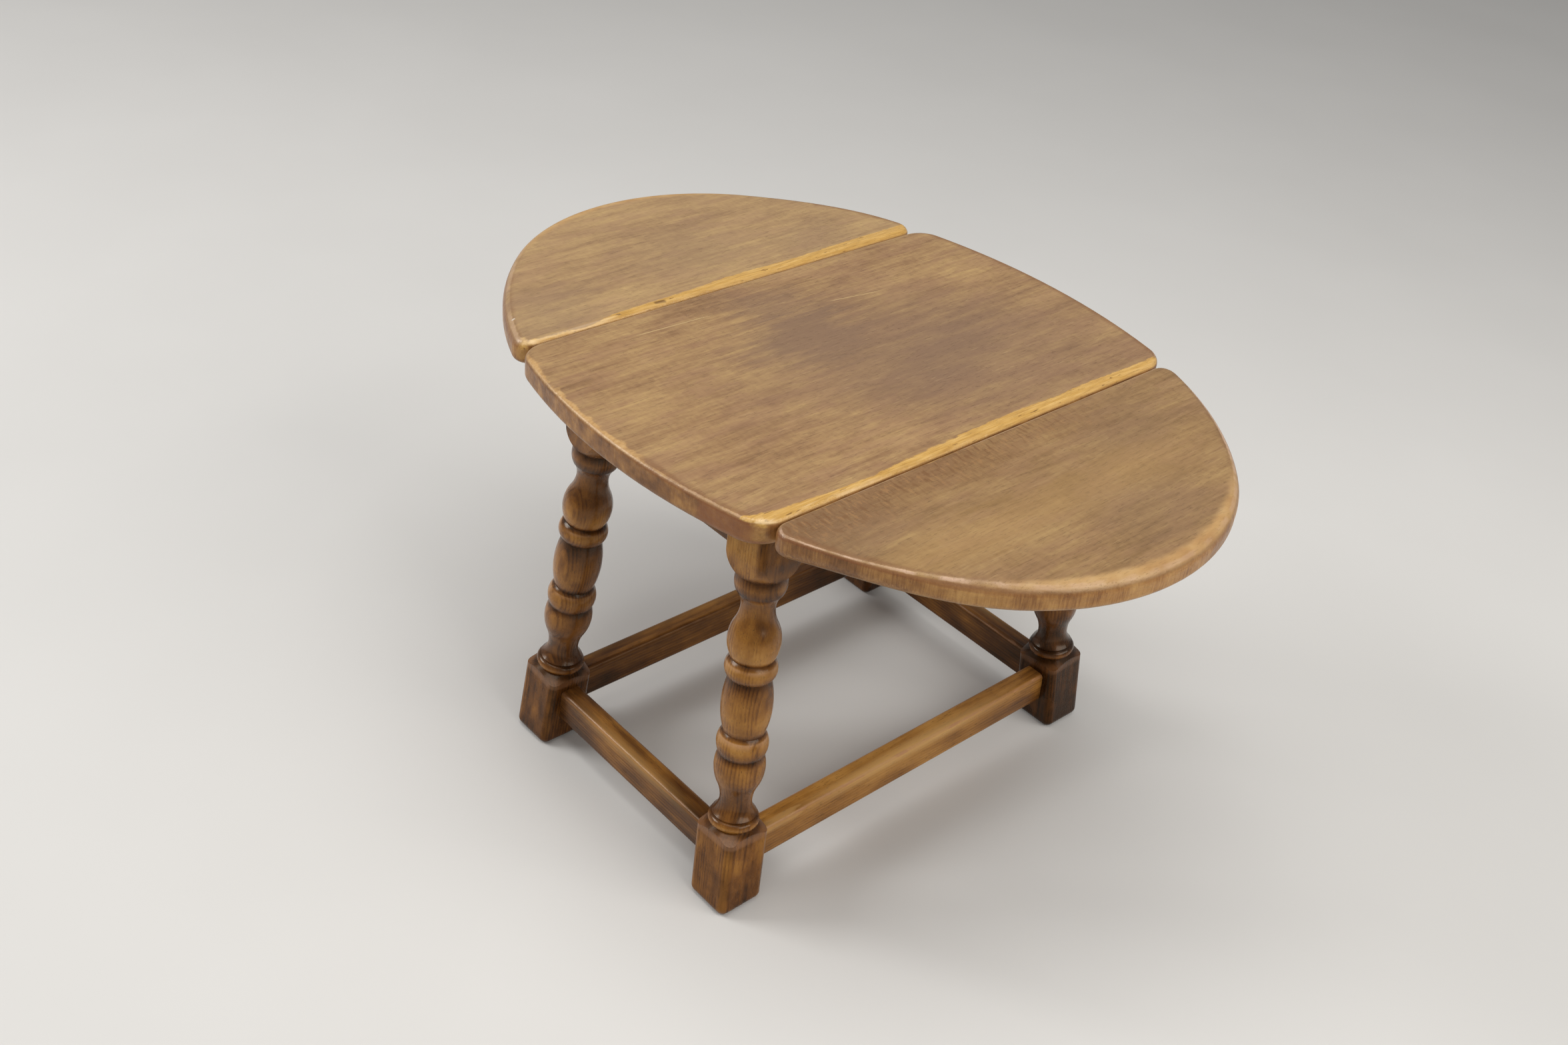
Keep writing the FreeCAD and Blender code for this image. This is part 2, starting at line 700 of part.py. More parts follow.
class Turning:
    """A lathe outline drawn upwards in a sketch, radius across and height up."""

    def __init__(self, sketch, start):
        self.sketch = sketch
        self.at = start
        self.last = None
        self.first = None

    def attach(self, curve, low_place, high_place, end):
        """Join a new curve to the outline below it and pin its upper end."""
        if self.last is None:
            self.first = (curve, PLACE[low_place])
            pin_point(self.sketch, curve, low_place, *self.at)
        else:
            relate(self.sketch, "Coincident", curve, PLACE[low_place], *self.last)
        pin_point(self.sketch, curve, high_place, *end)
        self.at = end
        self.last = (curve, PLACE[high_place])

    def straight(self, end):
        """A straight slope to the next place."""
        curve = line(self.sketch, vector(*self.at), vector(*end))
        self.attach(curve, "start", "end", end)

    def upright_arc(self, low, high, upright_at_high):
        """An arc between two sketch points, upright at one of them, and its ends' names."""
        upright, other = (high, low) if upright_at_high else (low, high)
        run = other - upright
        offset = run.Length**2 / (2 * run.x)
        centre = upright + FreeCAD.Vector(offset, 0, 0)
        angles = []
        for point in (low, high):
            spoke = point - centre
            angles.append(math.atan2(spoke.y, spoke.x) % (2 * math.pi))
        hollow = offset > 0
        first, last = (angles[1], angles[0]) if hollow else (angles[0], angles[1])
        curve = arc(self.sketch, centre, abs(offset), first, last)
        low_place, high_place = ("end", "start") if hollow else ("start", "end")
        upright_place = high_place if upright_at_high else low_place
        relate(self.sketch, "Horizontal", curve, 3, curve, PLACE[upright_place])
        return curve, low_place, high_place

    def swell(self, end, upright_at_end):
        """An arc to the next place, upright at one of its ends."""
        drawn = self.upright_arc(vector(*self.at), vector(*end), upright_at_end)
        self.attach(*drawn, end)

    def ogee(self, end):
        """Two equal arcs that meet half way, upright at both ends."""
        low, high = vector(*self.at), vector(*end)
        middle = (low + high) * 0.5
        lower, low_place, lower_join = self.upright_arc(low, middle, False)
        relate(self.sketch, "Coincident", lower, PLACE[low_place], *self.last)
        upper, upper_join, high_place = self.upright_arc(middle, high, True)
        relate(self.sketch, "Tangent", upper, PLACE[upper_join], lower, PLACE[lower_join])
        relate(self.sketch, "Equal", upper, lower)
        pin_point(self.sketch, upper, high_place, *end)
        self.at = end
        self.last = (upper, PLACE[high_place])

    def belly(self, place, end):
        """An arc out to a belly or bead and an arc back in over it."""
        self.swell(place, True)
        self.swell(end, False)

    def close(self):
        """The straight side at the turning limit, from the top back to the start."""
        top = vector(*self.at)
        curve = line(self.sketch, top, vector(cell("turning_limit"), cell("foot_shoulder_height")))
        relate(self.sketch, "Coincident", curve, 1, *self.last)
        relate(self.sketch, "Coincident", curve, 2, *self.first)


def draw_turning(sketch):
    """What the lathe takes off a leg, from the foot's shoulder up to the top block's cup."""
    limit = cell("turning_limit")
    outline = Turning(sketch, (limit, cell("foot_shoulder_height")))
    outline.straight(turning_point("ring_base"))
    outline.belly(turning_point("ring"), turning_point("ring_groove"))
    outline.straight(turning_point("flare"))
    outline.swell(turning_point("ankle"), True)
    outline.ogee(turning_point("low_vase"))
    outline.swell(turning_point("low_groove"), False)
    outline.belly(turning_point("low_bead"), turning_point("low_bead_top"))
    outline.belly(turning_point("middle_vase"), turning_point("high_groove"))
    outline.belly(turning_point("high_bead"), turning_point("high_bead_top"))
    outline.swell(turning_point("high_vase"), True)
    outline.ogee(turning_point("neck"))
    outline.swell(turning_point("collar_base"), False)
    outline.belly(turning_point("collar"), turning_point("cup_base"))
    outline.swell(turning_point("cup_top"), True)
    outline.straight((limit, cell("cup_top_height")))
    outline.close()


def leg_placement(side, end):
    """Stand a leg's own frame on the floor at its foot and lean it in towards the top."""
    foot = FreeCAD.Vector(side * leg_foot_x.value, end * leg_foot_y.value, 0)
    lean_x = -side * tangent(cell("splay_angle_x")).value
    lean_y = -end * tangent(cell("splay_angle_y")).value
    return FreeCAD.Placement(foot, FreeCAD.Rotation(UP, FreeCAD.Vector(lean_x, lean_y, 1)))


blank_length = cell("table_height") + cell("cutting_allowance")


def turned_blank(label):
    """A square blank with a rounder foot, turned between its two square ends."""
    body = new_body(f"{label}_blank")
    square = cell("leg_square")
    low = -cell("cutting_allowance")
    middle = cell("middle_vase_height")
    foot_section = new_sketch(body, f"{label}_foot_section", "XY_Plane", low)
    rounded_rectangle(foot_section, square, square, cell("foot_arris_radius"))
    pad(body, foot_section, f"{label}_foot", middle - low)
    block_section = new_sketch(body, f"{label}_block_section", "XY_Plane", middle)
    rounded_rectangle(block_section, square, square, cell("block_arris_radius"))
    blank = pad(body, block_section, f"{label}_block", blank_length - middle)
    outline = new_sketch(body, f"{label}_turning", "XZ_Plane")
    draw_turning(outline)
    turning = body.newObject("PartDesign::Groove", f"{label}_turned")
    turning.Profile = outline
    turning.ReferenceAxis = (outline, ["V_Axis"])
    turning.Angle = 360
    doc.recompute()
    if turning.Shape.Volume >= blank.Shape.Volume:
        raise RuntimeError(f"{label}: the turning took nothing off the blank")
    return body


def leg_prism(label, side, end):
    """The square prism that a leg is cut from, for the shoulders that meet it."""
    square = cell("leg_square").value
    spare = cell("cutting_allowance").value
    prism = doc.addObject("Part::Feature", label)
    corner = FreeCAD.Vector(-square / 2, -square / 2, -spare)
    prism.Shape = Part.makeBox(square, square, blank_length.value + spare, corner)
    prism.Placement = leg_placement(side, end)
    return prism


def mortise(label, side, end, along, depth, middle):
    """The hole for a tenon that enters a leg along X or Y at a height."""
    spare = cell("mortise_clearance")
    reach = cell("leg_square")
    tenon_end = cell("leg_square") / 2 - cell("tenon_length") - spare
    thickness = cell("tenon_thickness") + 2 * spare
    height = depth + 2 * spare
    x = side * leg_axis_x(middle)
    y = end * leg_axis_y(middle)
    shift = tenon_end + reach / 2
    if along == "x":
        return centred_box(label, reach, thickness, height, x - side * shift, y, middle)
    return centred_box(label, thickness, reach, height, x, y - end * shift, middle)


def foot_radius(point):
    """Radius of the edge under a foot, the same all round."""
    return cell("foot_edge_radius").value


prisms = {}
joinery = (
    ("stretcher", cell("stretcher_tenon_depth"), cell("stretcher_middle")),
    ("rail", cell("rail_tenon_depth"), rail_middle),
)
for end_name, end in ENDS.items():
    for side_name, side in SIDES.items():
        label = f"leg_{end_name}_{side_name}"
        prisms[side_name, end_name] = leg_prism(f"{label}_prism", side, end)
        blank = turned_blank(label)
        blank.Placement = leg_placement(side, end)
        room = cell("top_length")
        between = centred_box(
            f"{label}_between", room, room, underside, 0, 0, underside / 2
        )
        trimmed = doc.addObject("Part::Common", f"{label}_trimmed")
        trimmed.Base = blank
        trimmed.Tool = between
        doc.recompute()
        foot = eased(f"{label}_eased", trimmed, rim(trimmed.Shape, 0, foot_radius))
        tools = []
        for joint, depth, middle in joinery:
            for along in ("x", "y"):
                name = f"{label}_{joint}_mortise_{along}"
                tools.append(mortise(name, side, end, along, depth, middle))
        keep(cut(label, foot, tools))


# ---------------------------------------------------------------------------------------------
# Stretchers and rails: bars shouldered against the legs, with a stub tenon at each end
# ---------------------------------------------------------------------------------------------


def cross_bar(label, along, sign, thickness, depth, middle, radius, tenon_depth):
    """A bar between two legs; sign says on which side of the middle it lies."""
    axis_x = leg_axis_x(middle)
    axis_y = leg_axis_y(middle)
    tenon_stop = cell("leg_square") / 2 - cell("tenon_length")
    core_thickness = cell("tenon_thickness")
    if along == "x":
        stock = bar(f"{label}_stock", "YZ_Plane", thickness, depth, 2 * axis_x, radius)
        bind(stock, y=sign * axis_y, z=middle)
        core_length = 2 * (axis_x - tenon_stop)
        core = centred_box(
            f"{label}_tenons", core_length, core_thickness, tenon_depth, 0, sign * axis_y, middle
        )
        ends = [prism for (_, end_name), prism in prisms.items() if ENDS[end_name] == sign]
    else:
        stock = bar(f"{label}_stock", "XZ_Plane", thickness, depth, 2 * axis_y, radius)
        bind(stock, x=sign * axis_x, z=middle)
        core_length = 2 * (axis_y - tenon_stop)
        core = centred_box(
            f"{label}_tenons", core_thickness, core_length, tenon_depth, sign * axis_x, 0, middle
        )
        ends = [prism for (side_name, _), prism in prisms.items() if SIDES[side_name] == sign]
    shouldered = cut(f"{label}_shouldered", stock, ends)
    return fused(f"{label}_whole", [shouldered, core])


strip_screws = []
for side in SIDES.values():
    strip_screws += strip_screw_spots(side)
strip_holes = screw_holes("strip_screw_holes", cell("strip_screw_length"), strip_screws)
cleat_holes = screw_holes("cleat_screw_holes", cell("cleat_screw_length"), cleat_screws)

directions = [("side", name, "y", sign) for name, sign in SIDES.items()]
directions += [("end", name, "x", sign) for name, sign in ENDS.items()]
for group, name, along, sign in directions:
    stretcher = cross_bar(
        f"{group}_stretcher_{name}",
        along,
        sign,
        cell("stretcher_thickness"),
        cell("stretcher_depth"),
        cell("stretcher_middle"),
        cell("stretcher_arris_radius"),
        cell("stretcher_tenon_depth"),
    )
    stretcher.Label = f"{group}_stretcher_{name}"
    keep(stretcher)
    rail = cross_bar(
        f"{group}_rail_{name}",
        along,
        sign,
        cell("rail_thickness"),
        cell("rail_depth"),
        rail_middle,
        cell("rail_arris_radius"),
        cell("rail_tenon_depth"),
    )
    keep(cut(f"{group}_rail_{name}", rail, [strip_holes if group == "side" else cleat_holes]))

for end_name, end in ENDS.items():
    square = cell("cleat_square")
    cleat = centred_box(
        f"fixing_cleat_{end_name}_stock",
        cell("cleat_length"),
        square,
        square,
        0,
        end * (cleat_face_y - square / 2),
        underside - square / 2,
    )
    keep(cut(f"fixing_cleat_{end_name}", cleat, [cleat_holes]))


# ---------------------------------------------------------------------------------------------
# Knuckle strips, wings and their pins
# ---------------------------------------------------------------------------------------------

KNUCKLES = 5
knuckle_depth = cell("strip_depth") / KNUCKLES
strip_base = underside - cell("strip_depth")
bore_radius = cell("wing_pin_radius") + cell("pin_running_clearance")


def knuckle(label, thickness, base, height, pin_x, pin_y, sign):
    """One finger round the pin, joined to a body that lies on one side of it along Y."""
    eye = cylinder(f"{label}_eye", thickness / 2, height, pin_x, pin_y, base)
    web_y = pin_y + sign * knuckle_reach / 2
    web = centred_box(
        f"{label}_web", thickness, knuckle_reach, height, pin_x, web_y, base + height / 2
    )
    return [eye, web]


def knuckle_strip(side_name, side):
    """A strip screwed to a side rail, with three fingers at each end."""
    label = f"knuckle_strip_{side_name}"
    thickness = cell("strip_thickness")
    pin_x = side * wing_pin_x
    body_length = 2 * (wing_pin_y - knuckle_reach)
    middle = underside - cell("strip_depth") / 2
    shapes = [
        centred_box(
            f"{label}_block", thickness, body_length, cell("strip_depth"), pin_x, 0, middle
        )
    ]
    tools = [strip_holes]
    for end_name, end in ENDS.items():
        pin_y = end * wing_pin_y
        for step in range(0, KNUCKLES, 2):
            base = strip_base + step * knuckle_depth
            name = f"{label}_{end_name}_{step}"
            shapes += knuckle(name, thickness, base, knuckle_depth, pin_x, pin_y, -end)
        bore = cylinder(
            f"{label}_{end_name}_bore", bore_radius, cell("strip_depth"), pin_x, pin_y, strip_base
        )
        tools.append(bore)
    return cut(label, fused(f"{label}_whole", shapes), tools)


def draw_wing(sketch):
    """A wing from the side: level on top, swept up in an ogee from its lobe to its tip."""
    shoulder = knuckle_reach
    low = -cell("strip_depth")
    tip_low = -cell("wing_tip_depth")
    reach = wing_reach
    lobe_end = shoulder + cell("wing_lobe_length")
    tip_start = reach - cell("wing_tip_length")
    corner = cell("wing_tip_radius")
    top = line(sketch, vector(reach, 0), vector(shoulder, 0))
    back = line(sketch, vector(shoulder, 0), vector(shoulder, low))
    lobe = line(sketch, vector(shoulder, low), vector(lobe_end, low))
    sweep = vector(tip_start - lobe_end, tip_low - low)
    radius = sweep.Length**2 / (4 * sweep.y)
    half_angle = math.asin(sweep.x / 2 / radius)
    straight_down = -math.pi / 2
    rise = arc(
        sketch,
        vector(lobe_end, low + radius),
        radius,
        straight_down,
        straight_down + half_angle,
    )
    ease = arc(
        sketch,
        vector(tip_start, tip_low - radius),
        radius,
        -straight_down,
        -straight_down + half_angle,
    )
    under_tip = line(sketch, vector(tip_start, tip_low), vector(reach - corner, tip_low))
    nose = arc(
        sketch, vector(reach - corner, tip_low + corner), corner.value, straight_down, 0
    )
    front = line(sketch, vector(reach, tip_low + corner), vector(reach, 0))
    pin_point(sketch, top, "start", reach, 0)
    pin_point(sketch, top, "end", shoulder, 0)
    relate(sketch, "Coincident", back, 1, top, 2)
    pin_point(sketch, back, "end", shoulder, low)
    relate(sketch, "Coincident", lobe, 1, back, 2)
    pin_point(sketch, lobe, "end", lobe_end, low)
    relate(sketch, "Tangent", rise, 1, lobe, 2)
    relate(sketch, "Tangent", rise, 2, ease, 2)
    relate(sketch, "Equal", rise, ease)
    relate(sketch, "Tangent", ease, 1, under_tip, 1)
    pin_point(sketch, under_tip, "start", tip_start, tip_low)
    relate(sketch, "Horizontal", under_tip)
    relate(sketch, "Tangent", nose, 1, under_tip, 2)
    relate(sketch, "Tangent", nose, 2, front, 1)
    hold(sketch, "Radius", nose, corner)
    relate(sketch, "Coincident", front, 2, top, 1)
    relate(sketch, "Vertical", front)


def wing(label, side, end):
    """A wing in its stowed place, flat along the side rail, with two fingers round the pin."""
    drop = cell("knuckle_clearance")
    thickness = cell("wing_thickness")
    blade = new_body(f"{label}_blade")
    outline = new_sketch(blade, f"{label}_outline", "XZ_Plane")
    draw_wing(outline)
    pad(blade, outline, f"{label}_plate", thickness, middle=True)
    pin_x = side * wing_pin_x
    pin_y = end * wing_pin_y
    bind(blade, x=pin_x, y=pin_y, z=underside - drop)
    blade.Placement.Rotation = FreeCAD.Rotation(UP, 90 * end)
    shapes = [blade]
    for step in range(1, KNUCKLES, 2):
        base = strip_base + step * knuckle_depth + drop
        name = f"{label}_{step}"
        height = knuckle_depth - 2 * drop
        shapes += knuckle(name, thickness, base, height, pin_x, pin_y, end)
    bore = cylinder(
        f"{label}_bore", bore_radius, cell("strip_depth"), pin_x, pin_y, strip_base
    )
    return cut(label, fused(f"{label}_whole", shapes), [bore])


for side_name, side in SIDES.items():
    keep(knuckle_strip(side_name, side))
    for end_name, end in ENDS.items():
        keep(wing(f"wing_{side_name}_{end_name}", side, end))
        pin = cylinder(
            f"wing_pin_{side_name}_{end_name}",
            cell("wing_pin_radius"),
            cell("strip_depth") - cell("wing_pin_recess"),
            side * wing_pin_x,
            end * wing_pin_y,
            strip_base,
        )
        keep(pin)
keep(screws("strip_screws", cell("strip_screw_length"), strip_screws))


# ---------------------------------------------------------------------------------------------
# Butt hinges under the seams
# ---------------------------------------------------------------------------------------------

HINGE_KNUCKLES = 5
hinge_step = cell("hinge_length") / HINGE_KNUCKLES
hinge_plate_lap = cell("hinge_plate_thickness")
LAID_ALONG_Y = FreeCAD.Rotation(FreeCAD.Vector(1, 0, 0), -90)


def lying_cylinder(label, radius, length, x, y, z):
    """A cylinder that lies along Y by its radius, length and the middle of its front face."""
    round_bar = cylinder(label, radius, length, x, y, z)
    round_bar.Placement.Rotation = LAID_ALONG_Y
    return round_bar


def hinge_plate(label, side, end, edge_sign, steps, spots):
    """A plate under one board; edge_sign is -1 on the panel and 1 on the leaf."""
    barrel = cell("hinge_barrel_radius")
    gap = cell("hinge_knuckle_gap")
    thickness = cell("hinge_plate_thickness")
    outward = side * edge_sign
    start_y = end * hinge_offset - cell("hinge_length") / 2
    near = barrel + cell("hinge_barrel_clearance")
    plate_width = cell("hinge_plate_width")
    plate_x = side * seam_x + outward * (near + plate_width / 2)
    plate_z = hinge_axis_z + thickness / 2
    plate_y = end * hinge_offset
    length = cell("hinge_length")
    shapes = [
        centred_box(f"{label}_plate", plate_width, length, thickness, plate_x, plate_y, plate_z)
    ]
    for step in steps:
        knuckle_y = start_y + step * hinge_step + gap / 2
        knuckle_length = hinge_step - gap
        name = f"{label}_knuckle_{step}"
        shapes.append(
            lying_cylinder(name, barrel, knuckle_length, side * seam_x, knuckle_y, hinge_axis_z)
        )
        web_length = near + hinge_plate_lap
        web_x = side * seam_x + outward * web_length / 2
        web_y = knuckle_y + knuckle_length / 2
        web = centred_box(
            f"{name}_web", web_length, knuckle_length, thickness, web_x, web_y, plate_z
        )
        shapes.append(web)
    bore_size = cell("hinge_pin_radius") + cell("pin_running_clearance")
    bore = lying_cylinder(
        f"{label}_bore", bore_size, length, side * seam_x, start_y, hinge_axis_z
    )
    holes = screw_holes(f"{label}_holes", cell("hinge_screw_length"), spots)
    return cut(label, fused(f"{label}_whole", shapes), [bore, holes])


for side_name, side in SIDES.items():
    for end_name, end in ENDS.items():
        place = f"{side_name}_{end_name}"
        for board_name, edge_sign, first in (("panel", -1, 0), ("leaf", 1, 1)):
            spots = hinge_screw_spots(side, end, edge_sign, hinge_axis_z)
            steps = range(first, HINGE_KNUCKLES, 2)
            label = f"hinge_{board_name}_plate_{place}"
            keep(hinge_plate(label, side, end, edge_sign, steps, spots))
        hinge_pin = lying_cylinder(
            f"hinge_pin_{place}",
            cell("hinge_pin_radius"),
            cell("hinge_length"),
            side * seam_x,
            end * hinge_offset - cell("hinge_length") / 2,
            hinge_axis_z,
        )
        keep(hinge_pin)


# ---------------------------------------------------------------------------------------------
# Check every object, then write one STEP file for each piece
# ---------------------------------------------------------------------------------------------

doc.recompute()
for item in doc.Objects:
    if "Invalid" in item.State or "Error" in item.State:
        raise RuntimeError(f"{item.Label} failed: {item.State}")
for piece in SUB_PARTS:
    if piece.Shape.isNull() or not piece.Shape.isValid():
        raise RuntimeError(f"{piece.Label} has no valid shape")

os.makedirs("parts", exist_ok=True)
for piece in SUB_PARTS:
    piece.Shape.exportStep(os.path.join("parts", f"{piece.Label}.step"))
    solids = len(piece.Shape.Solids)
    print(f"{piece.Label}: {solids} solid(s), {piece.Shape.Volume / 1000:.1f} cm3")
print(f"{len(SUB_PARTS)} pieces")
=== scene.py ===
"""A butterfly folding table in oak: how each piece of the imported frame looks."""

import math

import bpy
from mathutils import Matrix, Vector

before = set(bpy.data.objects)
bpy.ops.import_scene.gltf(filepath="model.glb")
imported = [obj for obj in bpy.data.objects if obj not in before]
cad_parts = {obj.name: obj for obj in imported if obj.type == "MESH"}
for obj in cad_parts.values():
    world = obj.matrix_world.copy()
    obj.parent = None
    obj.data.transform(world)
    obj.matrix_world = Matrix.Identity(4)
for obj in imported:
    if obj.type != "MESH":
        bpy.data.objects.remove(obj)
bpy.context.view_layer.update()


# ---------------------------------------------------------------------------------------------
# The top. Three oak boards 22.5 mm thick, grain along the seams and upper edges rounded over,
# the outer two hinged to the middle one. Stained brown and waxed, then rubbed to golden wood
# along the seams and in a ragged band round the rims; the end grain is darker and redder.
# ---------------------------------------------------------------------------------------------

# in metres, as all sizes here; X runs across the boards and Y along them
SEAM_X = 0.152
HALF_WIDTH = 0.252
HALF_LENGTH = 0.350
END_BOW = 0.022
TIP_RADIUS = 0.203
SHOULDER_RADIUS = 0.328

# the sockets of a Mix node that mixes colours
MIX_AMOUNT, MIX_FIRST, MIX_SECOND, MIXED = 0, 6, 7, 2


class Field:
    """What varies over a surface: an output of a material's nodes. Arithmetic adds Math nodes."""

    def __init__(self, tree, socket=None):
        self.tree = tree
        self.socket = socket

    def node(self, kind, inputs=None, output=0, stops=None, **settings):
        """Add a node, its settings before its inputs, and return one of its outputs."""
        added = self.tree.nodes.new(kind)
        for name, value in settings.items():
            setattr(added, name, value)
        if stops:
            ramp = added.color_ramp.elements
            while len(ramp) < len(stops):
                ramp.new(1.0)
            for element, (position, colour) in zip(ramp, stops):
                element.position = position
                element.color = (*colour, 1.0)
        for key, value in (inputs or {}).items():
            if isinstance(value, Field):
                self.tree.links.new(value.socket, added.inputs[key])
            else:
                added.inputs[key].default_value = value
        return Field(self.tree, added.outputs[output])

    def maths(self, operation, *values):
        """One Math node, from fields or numbers."""
        return self.node("ShaderNodeMath", dict(enumerate(values)), operation=operation)

    def __add__(self, other):
        return self.maths("ADD", self, other)

    def __sub__(self, other):
        return self.maths("SUBTRACT", self, other)

    def __rsub__(self, other):
        return self.maths("SUBTRACT", other, self)

    def __mul__(self, other):
        return self.maths("MULTIPLY", self, other)

    def __truediv__(self, other):
        return self.maths("DIVIDE", self, other)

    def __pow__(self, other):
        return self.maths("POWER", self, other)

    def __abs__(self):
        return self.maths("ABSOLUTE", self)

    __radd__ = __add__
    __rmul__ = __mul__

    def fraction(self):
        return self.maths("FRACT", self)

    def least(self, other):
        return self.maths("MINIMUM", self, other)

    def most(self, other):
        return self.maths("MAXIMUM", self, other)

    def place(self):
        """Where a point of the table lies, in metres."""
        return self.node("ShaderNodeTexCoord", output="Object")

    def facing(self):
        """The way that the surface faces there."""
        return self.node("ShaderNodeTexCoord", output="Normal")

    def split(self):
        """The three components of a vector."""
        parts = self.node("ShaderNodeSeparateXYZ", {0: self})
        return [Field(self.tree, output) for output in parts.socket.node.outputs]

    def rise(self, low, high):
        """A smooth step from 0 at low to 1 at high; it falls where low is the greater."""
        return self.node(
            "ShaderNodeMapRange",
            {"Value": self, "From Min": low, "From Max": high},
            interpolation_type="SMOOTHSTEP",
        )

    def ramp(self, stops):
        """Colours by the field's value."""
        return self.node("ShaderNodeValToRGB", {0: self}, stops=stops)

    def profile(self, low, high, stops):
        """A value by the field's own, from stops of (field, value), the values from 0 to 1."""
        spread = (self - low) / (high - low)
        greys = [((at - low) / (high - low), (value, value, value)) for at, value in stops]
        return spread.ramp(greys)

    def mix(self, amount, first, second):
        """The first colour where the amount is 0 and the second where it is 1."""
        return self.node(
            "ShaderNodeMix",
            {MIX_AMOUNT: amount, MIX_FIRST: first, MIX_SECOND: second},
            output=MIXED,
            data_type="RGBA",
        )

    def tinted(self, colour, amount):
        """This colour with another laid over it by an amount."""
        return self.mix(amount, self, colour)

    def between(self, first, second):
        """A colour that turns from the first into the second as the field goes from 0 to 1."""
        return self.mix(self, first, second)


def paint(red, green, blue):
    """A colour for a socket."""
    return (red, green, blue, 1.0)


def new_finish(name, settings):
    """A material with its shader's constant settings, and the field its nodes start from."""
    material = bpy.data.materials.new(name)
    material.use_nodes = True
    shader = material.node_tree.nodes["Principled BSDF"]
    for socket, value in settings.items():
        shader.inputs[socket].default_value = value
    return material, Field(material.node_tree)


def lay_on(material, colour, roughness, relief, depth, polish=None):
    """Feed a material's shader: where relief is 1 the surface stands depth metres proud, and
    polish is the weight of a clear coat."""
    tree = material.node_tree
    shader = tree.nodes["Principled BSDF"]
    bump = relief.node("ShaderNodeBump", {"Height": relief, "Distance": depth, "Strength": 1.0})
    fed = {"Base Color": colour, "Roughness": roughness, "Normal": bump}
    if polish:
        fed["Coat Weight"] = polish
    for socket, value in fed.items():
        tree.links.new(value.socket, shader.inputs[socket])


def dress(material, *names):
    """Give CAD nodes a material."""
    for name in names:
        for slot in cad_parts[name].material_slots:
            slot.material = material


# the turns that bring a grain along X or along Y to Z
ALONG_X = (0, -math.pi / 2, 0)
ALONG_Y = (math.pi / 2, 0, 0)


def lengthways(start, turn, shift=0.0):
    """Where a point lies, with the grain turned to Z and the pattern shifted along it."""
    return start.node(
        "ShaderNodeMapping", {"Vector": start.place(), "Rotation": turn, "Location": (0, 0, shift)}
    )


def streaks(grain, across, along, detail=2.0, roughness=0.5):
    """Noise of 0.5 on average, in cells of so many metres across and along the grain."""
    stretched = grain.node(
        "ShaderNodeMapping", {"Vector": grain, "Scale": (1 / across, 1 / across, 1 / along)}
    )
    return grain.node(
        "ShaderNodeTexNoise",
        {"Vector": stretched, "Scale": 1.0, "Detail": detail, "Roughness": roughness},
    )


def growth_rings(grain, heart, width, wander):
    """Oak's rings as 1 in the dark open-pored wood and 0 in the dense. Heart is the middle of
    the tree, width one ring's, and wander how far they leave true circles, in metres."""
    x, y, _ = grain.split()
    bend = (streaks(grain, 0.05, 0.20) - 0.5) * wander
    reach = ((x - heart[0]) ** 2 + (y - heart[1]) ** 2) ** 0.5 + bend
    ring = (reach / width).fraction()
    return ring.rise(0.0, 0.15) * ring.rise(0.70, 0.25)


def rim_distance(x, y, side):
    """Metres from a point to a board's outer rim, seams left out. The panel's ends are arcs; a
    leaf's rim is an arc round its tip that runs into a wider one on to each seam."""
    x, y = abs(x), abs(y)
    if side == 0:
        radius = (SEAM_X**2 + END_BOW**2) / (2 * END_BOW)
        return radius - (x**2 + (y + (radius - HALF_WIDTH)) ** 2) ** 0.5
    tip = Vector((HALF_LENGTH - TIP_RADIUS, 0.0))
    corner = Vector((SEAM_X, HALF_WIDTH - END_BOW))
    away = tip - corner
    spare = SHOULDER_RADIUS - TIP_RADIUS
    along = (SHOULDER_RADIUS**2 - spare**2 + away.length_squared) / (2 * away.length)
    aside = math.sqrt(SHOULDER_RADIUS**2 - along**2)
    away.normalize()
    middle = corner + away * along + Vector((away.y, -away.x)) * aside
    join = (tip - middle).normalized()
    to_tip = TIP_RADIUS - ((x - tip.x) ** 2 + y**2) ** 0.5
    to_shoulder = SHOULDER_RADIUS - ((x - middle.x) ** 2 + (y - middle.y) ** 2) ** 0.5
    past_join = (y * join.x - (x - tip.x) * join.y).rise(-0.004, 0.004)
    return to_tip * (1 - past_join) + to_shoulder * past_join


# wood by its tone, from the darkest
WAXED_OAK = [
    (0.10, (0.170, 0.088, 0.039)), (0.38, (0.288, 0.164, 0.076)),
    (0.55, (0.358, 0.217, 0.097)), (0.85, (0.480, 0.312, 0.132)),
]
SAWN_OAK = [
    (0.15, (0.145, 0.056, 0.016)), (0.42, (0.270, 0.118, 0.034)),
    (0.58, (0.385, 0.185, 0.054)), (0.90, (0.540, 0.300, 0.098)),
]
BARE_OAK = [
    (0.30, (0.450, 0.250, 0.095)), (0.50, (0.530, 0.315, 0.125)), (0.75, (0.600, 0.390, 0.180)),
]
GOLDEN_OAK = [
    (0.30, (0.440, 0.235, 0.055)), (0.50, (0.575, 0.335, 0.090)), (0.70, (0.690, 0.440, 0.155)),
]

